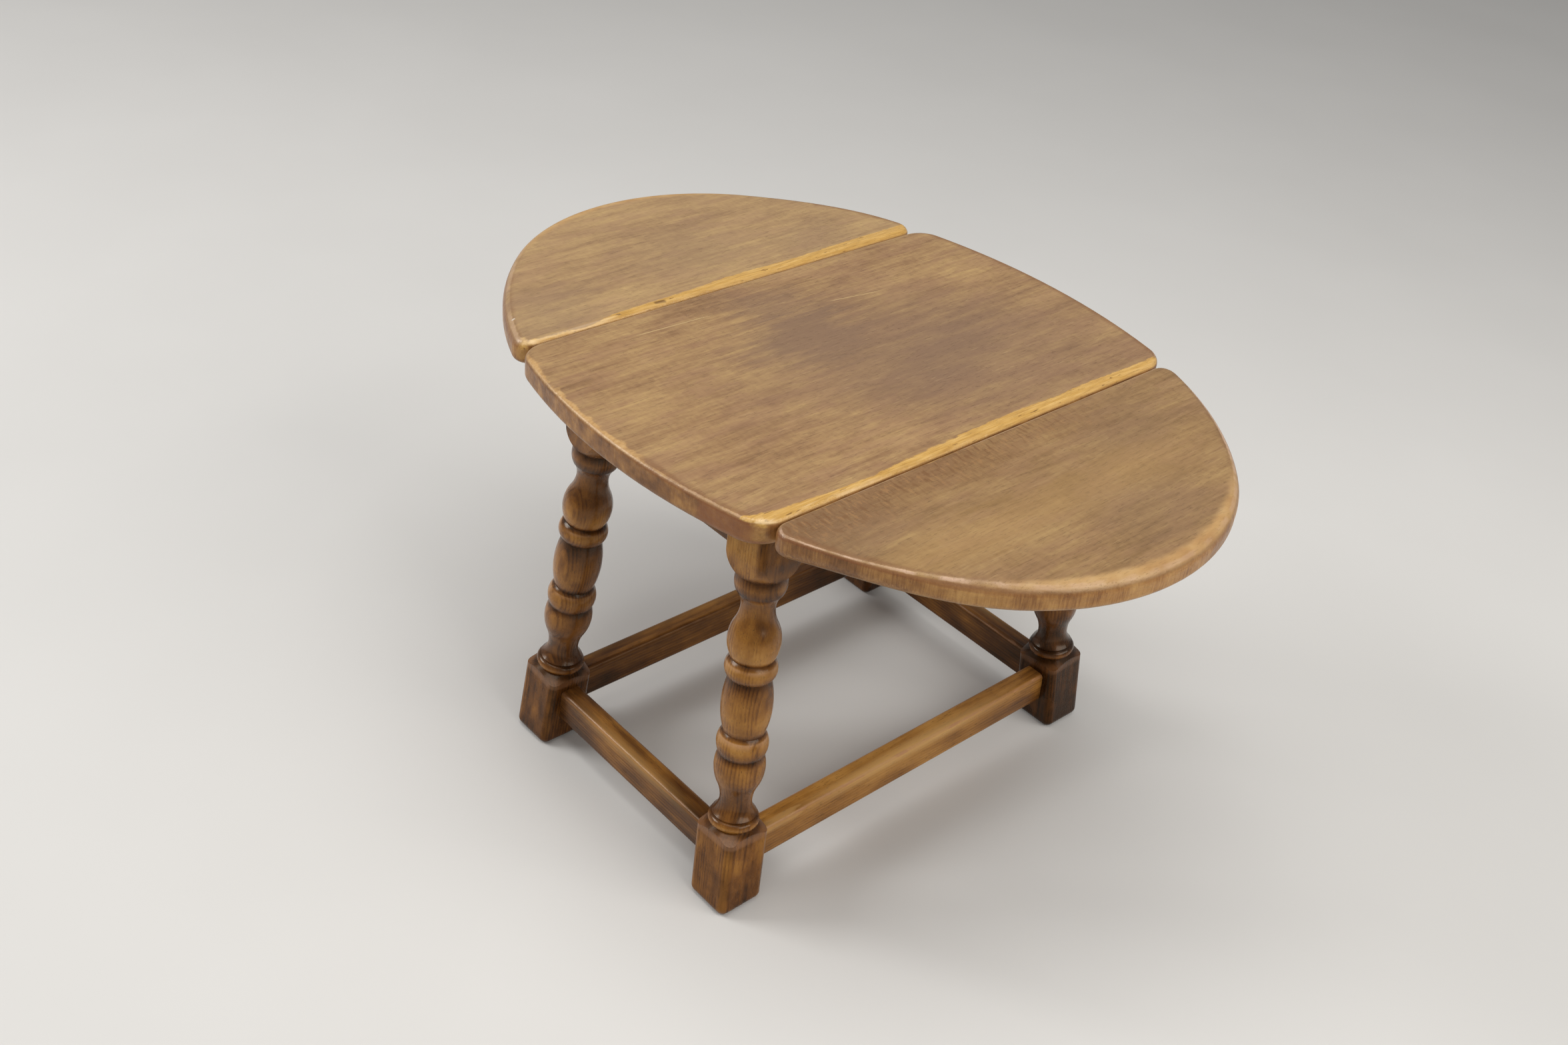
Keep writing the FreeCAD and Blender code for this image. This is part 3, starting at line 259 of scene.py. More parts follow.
RED_FLUSH = paint(0.315, 0.172, 0.100)
DARK_CLOUD = paint(0.215, 0.130, 0.080)
OPEN_PORE = paint(0.110, 0.052, 0.026)
PALE_FIBRE = paint(0.600, 0.420, 0.220)
FADED_STAIN = paint(0.520, 0.380, 0.210)
RUDDY_STAIN = paint(0.175, 0.074, 0.032)
ORANGE_RAY = paint(0.440, 0.220, 0.085)
WARM_STAIN = paint(0.460, 0.275, 0.105)
OLIVE_STAIN = paint(0.230, 0.155, 0.045)
RED_END_GRAIN = paint(0.270, 0.096, 0.034)
RUDDY_ROUNDING = paint(0.210, 0.078, 0.034)
# a painted highlight on the crest of a board's rounded upper edge
CREST_HIGHLIGHT = paint(0.600, 0.395, 0.275)
DARK_MARGIN = paint(0.190, 0.084, 0.036)
DARK_FLECK = paint(0.150, 0.065, 0.020)
# a painted highlight on the rounded edge of a seam
SEAM_EDGE_HIGHLIGHT = paint(0.560, 0.400, 0.270)
# a painted highlight on the golden seam wood
GOLD_HIGHLIGHT = paint(0.820, 0.600, 0.330)
UNDERSIDE_STAIN = paint(0.130, 0.066, 0.030)
PALE_SCRATCH = paint(0.560, 0.400, 0.190)
CHIP = paint(0.700, 0.620, 0.520)
DARK_KNOT = paint(0.120, 0.052, 0.018)

# how far the wear reaches in from each seam along it, as (y, part of REACH_LIMIT)
PANEL_SEAM_WEAR = [
    (-0.235, 0.98), (-0.222, 0.66), (-0.203, 0.50), (-0.160, 0.36), (-0.113, 0.28),
    (-0.070, 0.42), (-0.020, 0.52), (0.054, 0.64), (0.100, 0.55), (0.142, 0.60), (0.235, 0.42),
]
LEAF_SEAM_WEAR = [
    (-0.235, 0.30), (-0.200, 0.20), (-0.160, 0.16), (-0.124, 0.30), (-0.090, 0.40),
    (-0.050, 0.44), (0.000, 0.58), (0.026, 0.61), (0.071, 0.50), (0.120, 0.62), (0.235, 0.72),
]
WEAR_END = 0.235
REACH_LIMIT = 0.020

# the rim of the panel and of each leaf: how pale its sawn side is and how strongly that is
# mottled, blotted and scored, how far the bare wood wanders and in what cells, how ruddy the
# rounding is, and how bright and how frayed the painted highlight along its crest
RIMS = {
    "panel": {
        "pale": 0.40, "mottled": 0.7, "blotted": 1.0, "scored": 0.30, "wander": 0.020,
        "bare_cells": (0.0025, 0.006), "ruddy": 0.45, "crest_highlight": 0.32, "frayed": 0.40,
    },
    "left_leaf": {
        "pale": 0.44, "mottled": 1.1, "blotted": 0.5, "scored": 0.65, "wander": 0.004,
        "bare_cells": (0.012, 0.020), "ruddy": 0.45, "crest_highlight": 0.32, "frayed": 0.15,
    },
    "right_leaf": {
        "pale": 0.61, "mottled": 1.1, "blotted": 0.5, "scored": 0.65, "wander": 0.004,
        "bare_cells": (0.012, 0.020), "ruddy": 0.58, "crest_highlight": 0.75, "frayed": 0.15,
    },
}
PANEL_TIP_X = 0.122


def board_finish(board, side, heart, shift, shade, clouds_at, marks=(), worn_seam=None):
    """The finish of one board. Side is -1, 0 or 1 across the top, shade darkens its stain,
    clouds_at are dark clouds (x, y, radius, strength), marks are (x, y, lean from the grain,
    half width, half length, colour), and worn_seam is the side and the wear of a seam that is
    rubbed to golden wood."""
    material, start = new_finish(
        f"{board}_oak",
        {
            "IOR": 1.47,
            "Specular IOR Level": 0.40,
            "Specular Tint": paint(1.0, 0.88, 0.76),
            "Coat Weight": 0.10,
            "Coat Roughness": 0.22,
        },
    )
    x, y, _ = start.place().split()
    _, _, level = start.facing().split()
    grain = lengthways(start, ALONG_Y, shift)
    rings = growth_rings(grain, heart, 0.0042, 0.014)
    fibres = streaks(grain, 0.0009, 0.030)
    pores = streaks(grain, 0.0007, 0.008, detail=1.0).rise(0.62, 0.74)
    clouds = streaks(grain, 0.050, 0.12, detail=3.0)
    strokes = streaks(grain, 0.0065, 0.050, detail=3.0, roughness=0.55)
    dashes = streaks(grain, 0.0020, 0.020)
    rays = streaks(grain, 0.009, 0.0035)
    lumps = streaks(grain, 0.005, 0.007, detail=3.0)
    blots = streaks(grain, 0.014, 0.010, detail=4.0)

    # the stained face
    tone = (
        0.51
        + (clouds - 0.5) * 0.60
        + (strokes - 0.5) * 0.70
        + (dashes - 0.5) * 0.30
        + (fibres - 0.5) * 0.20
        + (rays - 0.5) * 0.26
        - rings * 0.05
        - shade
    )
    colour = tone.ramp(WAXED_OAK)
    flush = streaks(grain, 0.014, 0.045, detail=3.0).rise(0.44, 0.62)
    colour = colour.tinted(RED_FLUSH, flush * 0.30)
    haze = clouds.rise(0.80, 0.95)
    for cloud_x, cloud_y, radius, strength in clouds_at:
        away = ((x - cloud_x) ** 2 + ((y - cloud_y) * 0.7) ** 2) ** 0.5
        ragged = away + (clouds - 0.5) * 0.06 + (strokes - 0.5) * 0.05
        haze = haze + ragged.rise(radius, radius * 0.2) * strength
    colour = colour.tinted(DARK_CLOUD, haze.least(0.85))
    flecks = pores * (0.45 + rings * 0.4)
    colour = colour.tinted(OPEN_PORE, flecks * 0.38)
    lit = streaks(grain, 0.0011, 0.016, detail=1.0).rise(0.66, 0.76)
    colour = colour.tinted(PALE_FIBRE, lit * 0.18)
    if side < 0:
        colour = colour.tinted(FADED_STAIN, 0.14)
    if side > 0:
        band = (x + (clouds - 0.5) * 0.06).rise(0.212, 0.168) * y.rise(0.16, 0.02)
        crossed = streaks(grain, 0.010, 0.0030)
        ruddy = (0.55 + crossed.rise(0.52, 0.64) * 0.45) * band
        colour = colour.tinted(RUDDY_STAIN, ruddy * 0.90)
        colour = colour.tinted(ORANGE_RAY, crossed.rise(0.45, 0.36) * band * 0.34)
        warm = (abs(x - 0.244) + (strokes - 0.5) * 0.06).rise(0.034, 0.004) * y.rise(0.20, 0.06)
        colour = colour.tinted(WARM_STAIN, warm * 0.34)
        colour = colour.tinted(OLIVE_STAIN, 0.17)

    # the rim's upper edge, rubbed to bare wood
    look = RIMS[board]
    rim = rim_distance(x, y, side)
    from_seam = abs(abs(x) - SEAM_X)
    if side == 0:
        rubbed = x.rise(0.055, 0.015) * y.rise(-0.10, -0.20) * x.rise(-0.16, -0.12)
        reach = 0.0028 + rubbed * 0.0028
        amount = 0.40 + rubbed * 0.50
        softness = 0.0018
    else:
        rubbed = abs(x).rise(0.265, 0.335)
        reach = 0.0030 + rubbed * 0.0090
        amount = 0.35 + rubbed * 0.45
        softness = 0.0035
    uneven = (blots - 0.5) * look["wander"]
    worn = (rim + uneven - reach).rise(softness, -softness) * level.rise(0.35, 0.75)
    bare = streaks(grain, *look["bare_cells"]).ramp(BARE_OAK)
    colour = colour.tinted(bare, worn * amount)

    # the sawn side, the ruddy rounding above it and a painted highlight on the crest
    scoring = streaks(start.place(), 1 / 750, 1 / 60)
    side_tone = (
        look["pale"]
        + (streaks(grain, 0.030, 0.030) - 0.5) * look["mottled"]
        + (streaks(grain, 0.010, 0.010, detail=4.0) - 0.5) * look["blotted"]
        + (scoring - 0.5) * look["scored"]
    )
    if side > 0:
        side_tone = side_tone - x.rise(0.27, 0.18) * 0.17
    edge = side_tone.ramp(SAWN_OAK)
    if side == 0:
        near_tip = (abs(x - PANEL_TIP_X) + (lumps - 0.5) * 0.010).rise(0.028, 0.022)
        edge = edge.tinted(RED_END_GRAIN, near_tip * y.rise(-0.1, -0.2) * 0.65)
    upright = level.rise(0.60, 0.25) * level.rise(-0.80, -0.45)
    colour = colour.tinted(edge, upright * 0.95)
    outer = from_seam.rise(0.004, 0.010)
    rounding = level.rise(0.10, 0.25) * level.rise(0.75, 0.58) * outer * (1 - rubbed * 0.7)
    colour = colour.tinted(RUDDY_ROUNDING, rounding * look["ruddy"])
    fray = (lumps - 0.5) * look["frayed"]
    # painted highlight: a pale line along the crest of the rounded upper edge
    crest_highlight = (level + fray).rise(0.62, 0.74) * (level + fray).rise(0.93, 0.86)
    crest_highlight = crest_highlight * streaks(grain, 0.020, 0.020).rise(0.36, 0.58) * outer
    colour = colour.tinted(CREST_HIGHLIGHT, crest_highlight * (1 - rubbed * 0.6) * look["crest_highlight"])
    inner = (level + fray * 0.3).rise(0.90, 0.95) * (rim + (blots - 0.5) * 0.01).rise(0.010, 0.003)
    colour = colour.tinted(DARK_MARGIN, inner * outer * (1 - rubbed) * 0.62)

    # the seam's edges, rubbed to golden wood, with a painted highlight on those that are not
    ragged_edge = (lumps - 0.5) * 0.004 + (strokes - 0.5) * 0.006
    golden = (from_seam + ragged_edge - 0.0030).rise(0.0010, -0.0006) * 0.4
    if worn_seam:
        worn_side, wear = worn_seam
        reach = y.profile(-WEAR_END, WEAR_END, wear) * REACH_LIMIT
        bared = (from_seam + ragged_edge - reach).rise(0.0010, -0.0006)
        lobe = (rim + (lumps - 0.5) * 0.006).rise(0.0115, 0.0075) * y.rise(-0.10, -0.20)
        lobe = lobe * (from_seam + (lumps - 0.5) * 0.006).rise(0.013, 0.006)
        bared = (bared * level.rise(0.34, 0.66)).most(lobe * level.rise(-0.35, 0.45))
        at_seam = (x * worn_side).rise(0.0, 0.001)
        golden = bared * at_seam + golden * (1 - at_seam)
    gold = (dashes * 0.6 + fibres * 0.4).ramp(GOLDEN_OAK)
    colour = colour.tinted(gold, golden * 0.97)
    knots = streaks(grain, 0.0022, 0.012).rise(0.66, 0.72) * golden
    colour = colour.tinted(DARK_FLECK, knots * 0.75)
    # painted highlight: a pale line on the rounded edge of the seams that are not rubbed golden
    seam_edge_highlight = (1 - golden) * from_seam.rise(0.0065, 0.0040) * level.rise(0.60, 0.75)
    seam_edge_highlight = seam_edge_highlight * level.rise(0.96, 0.88) * streaks(grain, 0.030, 0.060).rise(0.36, 0.56)
    colour = colour.tinted(SEAM_EDGE_HIGHLIGHT, seam_edge_highlight * 0.50)

    # marks in the face, a painted highlight on the golden wood, and the underside
    for mark_x, mark_y, lean, half_width, half_length, mark in marks:
        aside = abs(x - mark_x - (y - mark_y) * lean).rise(half_width, half_width * 0.3)
        beside = abs(y - mark_y).rise(half_length, half_length * 0.6)
        colour = colour.tinted(mark, aside * beside * level.rise(0.5, 0.8) * 0.75)
    # painted highlight: a cream shine on the golden seam wood near the front and on the corner
    # lobe
    gold_highlight = golden * level.rise(0.97, 0.88) * level.rise(0.45, 0.62) * strokes.rise(0.38, 0.58)
    gold_highlight = gold_highlight * (0.15 + y.rise(-0.08, -0.17) * 0.85)
    if worn_seam:
        gold_highlight = gold_highlight.most(lobe * at_seam * level.rise(0.40, 0.60) * 0.8)
    colour = colour.tinted(GOLD_HIGHLIGHT, gold_highlight * 0.75)
    colour = colour.tinted(UNDERSIDE_STAIN, level.rise(-0.5, -0.9) * 0.48)

    sheen = (clouds - 0.5) * 0.20 + (fibres - 0.5) * 0.10
    edges = level.rise(0.99, 0.80) * level.rise(-0.99, -0.80)
    roughness = 0.42 + sheen + pores * 0.15 - golden * 0.14 - edges * 0.08
    roughness = roughness + level.rise(-0.5, -0.9) * 0.18
    relief = fibres * 0.20 - pores * 0.8 + lumps * 2.5 * edges - rings * 0.08
    lay_on(material, colour, roughness, relief, 0.00022)
    return material


panel_oak = board_finish(
    "panel",
    side=0,
    heart=(0.05, -0.28),
    shift=0.0,
    shade=0.0,
    clouds_at=[
        (-0.040, -0.025, 0.060, 0.52), (-0.094, -0.005, 0.045, 0.42),
        (0.000, 0.020, 0.150, 0.46), (0.070, 0.110, 0.150, 0.40),
    ],
    marks=[
        (-0.1163, -0.0998, 0.051, 0.0007, 0.044, PALE_SCRATCH),
        (-0.0775, 0.0731, 0.160, 0.0006, 0.030, PALE_SCRATCH),
    ],
    worn_seam=(1, PANEL_SEAM_WEAR),
)
left_leaf_oak = board_finish(
    "left_leaf",
    side=-1,
    heart=(-0.30, -0.25),
    shift=1.7,
    shade=-0.05,
    clouds_at=[
        (-0.215, 0.010, 0.070, 0.30), (-0.185, 0.120, 0.050, 0.25),
        (-0.185, -0.180, 0.060, 0.40),
    ],
    marks=[
        (-0.1945, -0.2065, 0.0, 0.0014, 0.0018, CHIP),
        (-0.1570, -0.0820, 0.1, 0.0022, 0.0070, DARK_KNOT),
    ],
    worn_seam=(-1, LEAF_SEAM_WEAR),
)
right_leaf_oak = board_finish(
    "right_leaf",
    side=1,
    heart=(0.12, -0.24),
    shift=3.4,
    shade=0.105,
    clouds_at=[
        (0.290, 0.040, 0.060, 0.30), (0.200, 0.100, 0.060, 0.25),
        (0.165, -0.200, 0.080, 0.50),
    ],
)
dress(panel_oak, "centre_panel")
dress(left_leaf_oak, "leaf_board_left")
dress(right_leaf_oak, "leaf_board_right")


# ---------------------------------------------------------------------------------------------
# The legs. Four 45 mm oak squares turned between a square foot and a square top block, glued
# to stretchers and rails. Dark polish has gathered in the turned grooves and rubbed thin over
# the beads, the swells and the arrises of the feet. A painted highlight lies on the upper faces
# of the turning's crests and on the feet's upper corners, and painted shade on the faces under
# the top and turned in under the table.
# ---------------------------------------------------------------------------------------------

SIDES = {"left": -1, "right": 1}
ENDS = {"front": -1, "back": 1}

# where the middle of a foot stands, how far a leg leans in for each metre up, and heights
# along the leg
LEG_FOOT = (0.1305, 0.207)
LEG_SPLAY = (math.tan(math.radians(4.44)), math.tan(math.radians(4.81)))
LEG_LENGTH = 0.380
LEG_SHOULDER = 0.0688
MIDDLE_GROOVE = 0.2205
LEG_BLOCK = 0.333

POLISHED_LEG = [
    (0.00, (0.027, 0.009, 0.002)), (0.22, (0.092, 0.031, 0.006)),
    (0.45, (0.200, 0.076, 0.014)), (0.68, (0.350, 0.152, 0.028)),
    (1.00, (0.540, 0.275, 0.065)),
]
POLISHED_PORE = paint(0.030, 0.012, 0.005)
RUBBED_ARRIS = paint(0.380, 0.175, 0.042)
# wear, and a painted highlight, on the feet's upper corners
WORN_SHOULDER_AND_HIGHLIGHT = paint(0.330, 0.165, 0.085)
# a painted highlight on the upper faces of the turning's crests
PALE_TURNING_HIGHLIGHT = paint(0.560, 0.330, 0.190)

# how pale the polish is at each height up a leg, from 0 in a groove to 1 on a crest, below
# the middle groove and above it
FOOT_TONES = [
    (0.000, 0.18), (0.012, 0.30), (0.050, 0.40), (0.0685, 0.38), (0.072, 0.34), (0.077, 0.10),
    (0.082, 0.55), (0.0870, 0.08), (0.0900, 0.24), (0.105, 0.28), (0.118, 0.34), (0.130, 0.47),
    (0.143, 0.50), (0.1485, 0.09), (0.152, 0.40), (0.158, 0.60), (0.1660, 0.66), (0.1695, 0.09),
    (0.175, 0.50), (0.188, 0.60), (0.212, 0.40), (MIDDLE_GROOVE, 0.09),
]
HEAD_TONES = [
    (0.000, 0.09), (0.216, 0.36), (MIDDLE_GROOVE, 0.09), (0.225, 0.42), (0.230, 0.60),
    (0.2350, 0.66), (0.2388, 0.09), (0.2430, 0.66), (0.249, 0.66), (0.258, 0.52),
    (0.275, 0.38), (0.2965, 0.34), (0.300, 0.09), (0.308, 0.46), (0.3155, 0.07),
    (0.321, 0.46), (0.336, 0.60), (0.380, 0.50),
]


def leg_finish(name, side, end, heart, shift, depth):
    """The finish of one leg in the leg's own leaning frame; depth darkens its polish."""
    material, start = new_finish(
        name,
        {
            "IOR": 1.5,
            "Specular IOR Level": 0.22,
            "Specular Tint": paint(1.0, 0.74, 0.44),
            "Coat Roughness": 0.20,
        },
    )
    lean = Vector((-side * LEG_SPLAY[0], -end * LEG_SPLAY[1], 1.0))
    turn = Vector((0, 0, 1)).rotation_difference(lean).to_euler()
    upright = start.node(
        "ShaderNodeMapping",
        {
            "Vector": start.place(),
            "Location": (side * LEG_FOOT[0], end * LEG_FOOT[1], 0),
            "Rotation": tuple(turn),
        },
        vector_type="TEXTURE",
    )
    x, y, z = upright.split()
    across, _, level = start.facing().split()
    grain = start.node("ShaderNodeMapping", {"Vector": upright, "Location": (0, 0, shift)})
    rings = growth_rings(grain, heart, 0.0027, 0.012)
    flamed = streaks(grain, 0.012, 0.030).rise(0.44, 0.60)
    fibres = streaks(grain, 0.0008, 0.016)
    pores = streaks(grain, 0.0006, 0.005, detail=1.0).rise(0.62, 0.74)
    clouds = streaks(grain, 0.014, 0.020, detail=4.0)
    flames = streaks(grain, 0.0070, 0.045, detail=3.0)

    # the polish, by the height up the turning, with painted shade on the top block's outer face
    # under the top and on the faces turned in under the table
    lower = z.profile(0, LEG_LENGTH, FOOT_TONES)
    upper = z.profile(0, LEG_LENGTH, HEAD_TONES)
    above = z.rise(MIDDLE_GROOVE - 0.0002, MIDDLE_GROOVE + 0.0002)
    turned = lower * (1 - above) + upper * above
    block = z.rise(LEG_BLOCK - 0.005, LEG_BLOCK + 0.005)
    squared = block.most(z.rise(LEG_SHOULDER + 0.003, LEG_SHOULDER - 0.003))
    # painted shade on the top block's outer face, under the top
    painted_shade_under_top = (x * side).rise(0.012, 0.019) * z.rise(LEG_BLOCK - 0.015, LEG_BLOCK - 0.001)
    # painted shade on the faces turned in under the table
    painted_shade_inward = (across * -side).rise(0.10, 0.90)
    tone = (
        turned
        + 0.06
        - depth
        + (clouds - 0.5) * 0.75
        + (flames - 0.5) * (0.20 + squared * 0.36)
        + (fibres - 0.5) * 0.16
        - rings * (0.02 + flamed * 0.13)
        - painted_shade_under_top * 0.36
        - painted_shade_inward * 0.06
        + block * 0.12
        - squared * (0.04 + max(depth, 0.0) * 0.5)
    )
    colour = tone.ramp(POLISHED_LEG)
    colour = colour.tinted(POLISHED_PORE, pores * 0.55)

    # wear on the foot's arrises, wear with a painted highlight on its upper corners, and a painted
    # highlight on the upper faces of the turning's crests
    corner = abs(x).least(abs(y)) + (flames - 0.5) * 0.012
    foot = z.rise(LEG_SHOULDER + 0.002, LEG_SHOULDER - 0.006)
    rubbed = corner.rise(0.0150, 0.0205) * foot
    colour = colour.tinted(RUBBED_ARRIS, rubbed * (0.18 - depth * 3.0))
    # wear and a painted highlight on the foot's upper corners
    shoulder = z.rise(LEG_SHOULDER - 0.0030, LEG_SHOULDER) * z.rise(0.0765, 0.0735)
    outside = ((x**2 + y**2) ** 0.5).rise(0.0205, 0.0235)
    colour = colour.tinted(WORN_SHOULDER_AND_HIGHLIGHT, shoulder * outside * (0.30 - depth))
    # painted highlight on the upward faces of the beads and swells
    turning_highlight = level.rise(0.22, 0.70) * turned.rise(0.46, 0.62) * (1 - squared)
    turning_highlight = turning_highlight * clouds.rise(0.30, 0.55) * (0.62 - depth * 2.0)
    colour = colour.tinted(PALE_TURNING_HIGHLIGHT, turning_highlight)

    roughness = 0.30 + (clouds - 0.5) * 0.22 + pores * 0.2 - turned * 0.06
    relief = fibres * 0.25 - pores * 0.5 - rings * flamed * 0.20 + clouds * 1.2
    lay_on(material, colour, roughness, relief, 0.00020, polish=0.33 - squared * 0.30)
    return material


# the middle of each leg's tree, and how dark its polish is
LEG_WOOD = {
    ("left", "front"): ((0.010, -0.058), 0.04),
    ("right", "front"): ((0.062, 0.012), -0.03),
    ("left", "back"): ((0.052, -0.030), 0.08),
    ("right", "back"): ((-0.012, -0.062), 0.20),
}
# how much further along the grain each leg's pattern starts than the last one's
LEG_SHIFT = 0.43

for number, ((side_name, end_name), (heart, depth)) in enumerate(LEG_WOOD.items()):
    leg_name = f"leg_{end_name}_{side_name}"
    finish = leg_finish(
        f"{leg_name}_oak", SIDES[side_name], ENDS[end_name], heart, LEG_SHIFT * number, depth
    )
    dress(finish, leg_name)


# ---------------------------------------------------------------------------------------------
# The box of stretchers and the rails. Oak bars tenoned into the legs; the stretchers are 20 by
# 33 mm with every edge worn round, and shoes have rubbed their upper edges to golden wood,
# most of all half way along, where a painted highlight lies over the wear, as it does on the
# scuffed arrises. The rails under the top have kept their dark polish.
# ---------------------------------------------------------------------------------------------

# the stretchers' upper edge and outer faces, and where a heel has rubbed
STRETCHER_TOP = 0.061
SIDE_OUTER = 0.137
END_OUTER = 0.2132
HEEL_Y = -0.158

POLISHED_BAR = [
    (0.00, (0.022, 0.009, 0.003)), (0.25, (0.085, 0.030, 0.007)),
    (0.48, (0.200, 0.080, 0.016)), (0.70, (0.350, 0.154, 0.031)),
    (1.00, (0.510, 0.255, 0.062)),
]
# wear, with a painted highlight over it, along the stretchers' upper edges
TRODDEN_GOLD_AND_SHEEN = paint(0.640, 0.375, 0.135)
# wear, with a painted highlight, on the bars' upper arrises
SCUFFED_ARRIS_AND_HIGHLIGHT = paint(0.470, 0.235, 0.120)


def bar_finish(name, turn, half_length, heart, shift, wear, depth):
    """The finish of a bar with its grain along it; wear is how far it is rubbed, depth how
    much its polish is darkened."""
    material, start = new_finish(
        name,
        {
            "IOR": 1.5,
            "Specular IOR Level": 0.26,
            "Specular Tint": paint(1.0, 0.76, 0.50),
            "Coat Weight": 0.14,
            "Coat Roughness": 0.18,
        },
    )
    _, _, level = start.facing().split()
    x, y, z = start.place().split()
    grain = lengthways(start, turn, shift)
    _, _, along = lengthways(start, turn).split()
    rings = growth_rings(grain, heart, 0.0030, 0.010)
    fibres = streaks(grain, 0.0008, 0.022)
    pores = streaks(grain, 0.0006, 0.006, detail=1.0).rise(0.62, 0.74)
    clouds = streaks(grain, 0.018, 0.045, detail=4.0)
    flames = streaks(grain, 0.0045, 0.060, detail=3.0)

    # the polish, palest half way along the bar; the tone is also darker low down and towards the
    # back
    middle = abs(along / half_length).rise(0.95, 0.10)
    tone = (
        0.44
        - depth
        + middle * 0.18
        + wear * 0.08
        - z.rise(STRETCHER_TOP - 0.010, STRETCHER_TOP - 0.026) * 0.10
        - y.rise(0.02, 0.18) * 0.10
        + (clouds - 0.5) * 0.85
        + (flames - 0.5) * 0.36
        + (fibres - 0.5) * 0.25
        - rings * 0.09
    )
    colour = tone.ramp(POLISHED_BAR)
    colour = colour.tinted(POLISHED_PORE, pores * 0.55)

    # wear with a painted highlight along the outer upper edge and on the arrises, and wear at a
    # heel's place near the front
    outer = abs(x) - SIDE_OUTER if turn == ALONG_Y else abs(y) - END_OUTER
    inside = ((outer**2 + (z - STRETCHER_TOP) ** 2) ** 0.5) + (clouds - 0.5) * 0.006
    ragged = streaks(grain, 0.004, 0.030, detail=4.0) - 0.5
    heel = (abs(y - HEEL_Y) + ragged * 0.05 + (clouds - 0.5) * 0.05).rise(0.028, 0.016)
    heel = heel * (inside + ragged * 0.006).rise(0.009, 0.004)
    # wear with a painted highlight along the outer upper edge, most of all half way along
    trodden_and_sheen = (inside.rise(0.012, 0.001) * middle).most(heel * 0.55) * wear
    colour = colour.tinted(TRODDEN_GOLD_AND_SHEEN, trodden_and_sheen * 0.85)
    arris = (level + ragged * 0.3).rise(0.20, 0.50) * (level + ragged * 0.2).rise(0.98, 0.85)
    chipped = streaks(grain, 0.005, 0.022, detail=3.0).rise(0.53, 0.60)
    # wear and a painted highlight on the upward-facing arrises
    scuffed_and_highlight = arris * (0.45 + chipped * 0.55) * wear
    colour = colour.tinted(SCUFFED_ARRIS_AND_HIGHLIGHT, scuffed_and_highlight * 0.70)

    roughness = 0.34 + (clouds - 0.5) * 0.20 + pores * 0.2 - trodden_and_sheen * 0.06
    relief = fibres * 0.25 - pores * 0.5 - rings * 0.12 + clouds * 1.5
    lay_on(material, colour, roughness, relief, 0.00020)
    return material


# each bar's grain, half length, middle of its tree, shift, wear and depth of polish
BAR_WOOD = {
    "side_stretcher_left": (ALONG_Y, 0.19, (-0.05, 0.12), 0.3, 0.20, 0.12),
    # the right side stretcher's lighter polish and heavier wear are partly painted light on its
    # lit outer face
    "side_stretcher_right": (ALONG_Y, 0.19, (0.05, 0.12), 1.3, 1.10, -0.16),
    "side_rail_left": (ALONG_Y, 0.17, (-0.09, 0.20), 2.3, 0.10, 0.08),
    "side_rail_right": (ALONG_Y, 0.17, (0.09, 0.20), 3.3, 0.10, 0.08),
    "end_stretcher_front": (ALONG_X, 0.11, (0.10, -0.14), 4.1, 0.50, 0.13),
    "end_stretcher_back": (ALONG_X, 0.11, (0.10, 0.14), 5.1, 0.50, 0.13),
    "end_rail_front": (ALONG_X, 0.09, (0.18, -0.10), 6.1, 0.10, 0.08),
    "end_rail_back": (ALONG_X, 0.09, (0.18, 0.10), 7.1, 0.10, 0.08),
}
for bar_name, wood in BAR_WOOD.items():
    dress(bar_finish(f"{bar_name}_oak", *wood), bar_name)


# ---------------------------------------------------------------------------------------------
# Cleats, knuckle strips and wings. Plain oak under the top: cleats screwed into the corner of
# panel and end rail, strips screwed to the side rails, and the wings that swing out on pins to
# hold the leaves up. Cut clean and left unpolished, with a little grime from hands; the oak is
# darkened as painted shade, since these parts sit in the shade under the top.
# ---------------------------------------------------------------------------------------------

# darkened as painted shade: these parts sit in the shade under the top
PLAIN_OAK_IN_PAINTED_SHADE = [
    (0.10, (0.060, 0.027, 0.011)), (0.50, (0.135, 0.068, 0.028)), (0.90, (0.240, 0.135, 0.060)),
]
PLAIN_PORE = paint(0.060, 0.030, 0.015)
GRIME = paint(0.090, 0.046, 0.022)


def plain_finish(name, turn, heart, shift):
    """Unpolished oak with its grain along one way, darkened as painted shade."""
    material, start = new_finish(name, {"IOR": 1.45, "Specular IOR Level": 0.3})
    grain = lengthways(start, turn, shift)
    rings = growth_rings(grain, heart, 0.0032, 0.010)
    fibres = streaks(grain, 0.0009, 0.020)
    pores = streaks(grain, 0.0006, 0.007, detail=1.0).rise(0.62, 0.74)
    clouds = streaks(grain, 0.018, 0.045, detail=3.0)
    grime = streaks(grain, 0.030, 0.030, detail=4.0).rise(0.52, 0.68)
    tone = 0.55 + (clouds - 0.5) * 0.6 + (fibres - 0.5) * 0.4 - rings * 0.16
    colour = tone.ramp(PLAIN_OAK_IN_PAINTED_SHADE)
    colour = colour.tinted(PLAIN_PORE, pores * 0.6)
    colour = colour.tinted(GRIME, grime * 0.45)
    roughness = 0.62 + (fibres - 0.5) * 0.2 - grime * 0.08
    relief = fibres * 0.5 - pores * 0.8 - rings * 0.2
    lay_on(material, colour, roughness, relief, 0.00025)
    return material


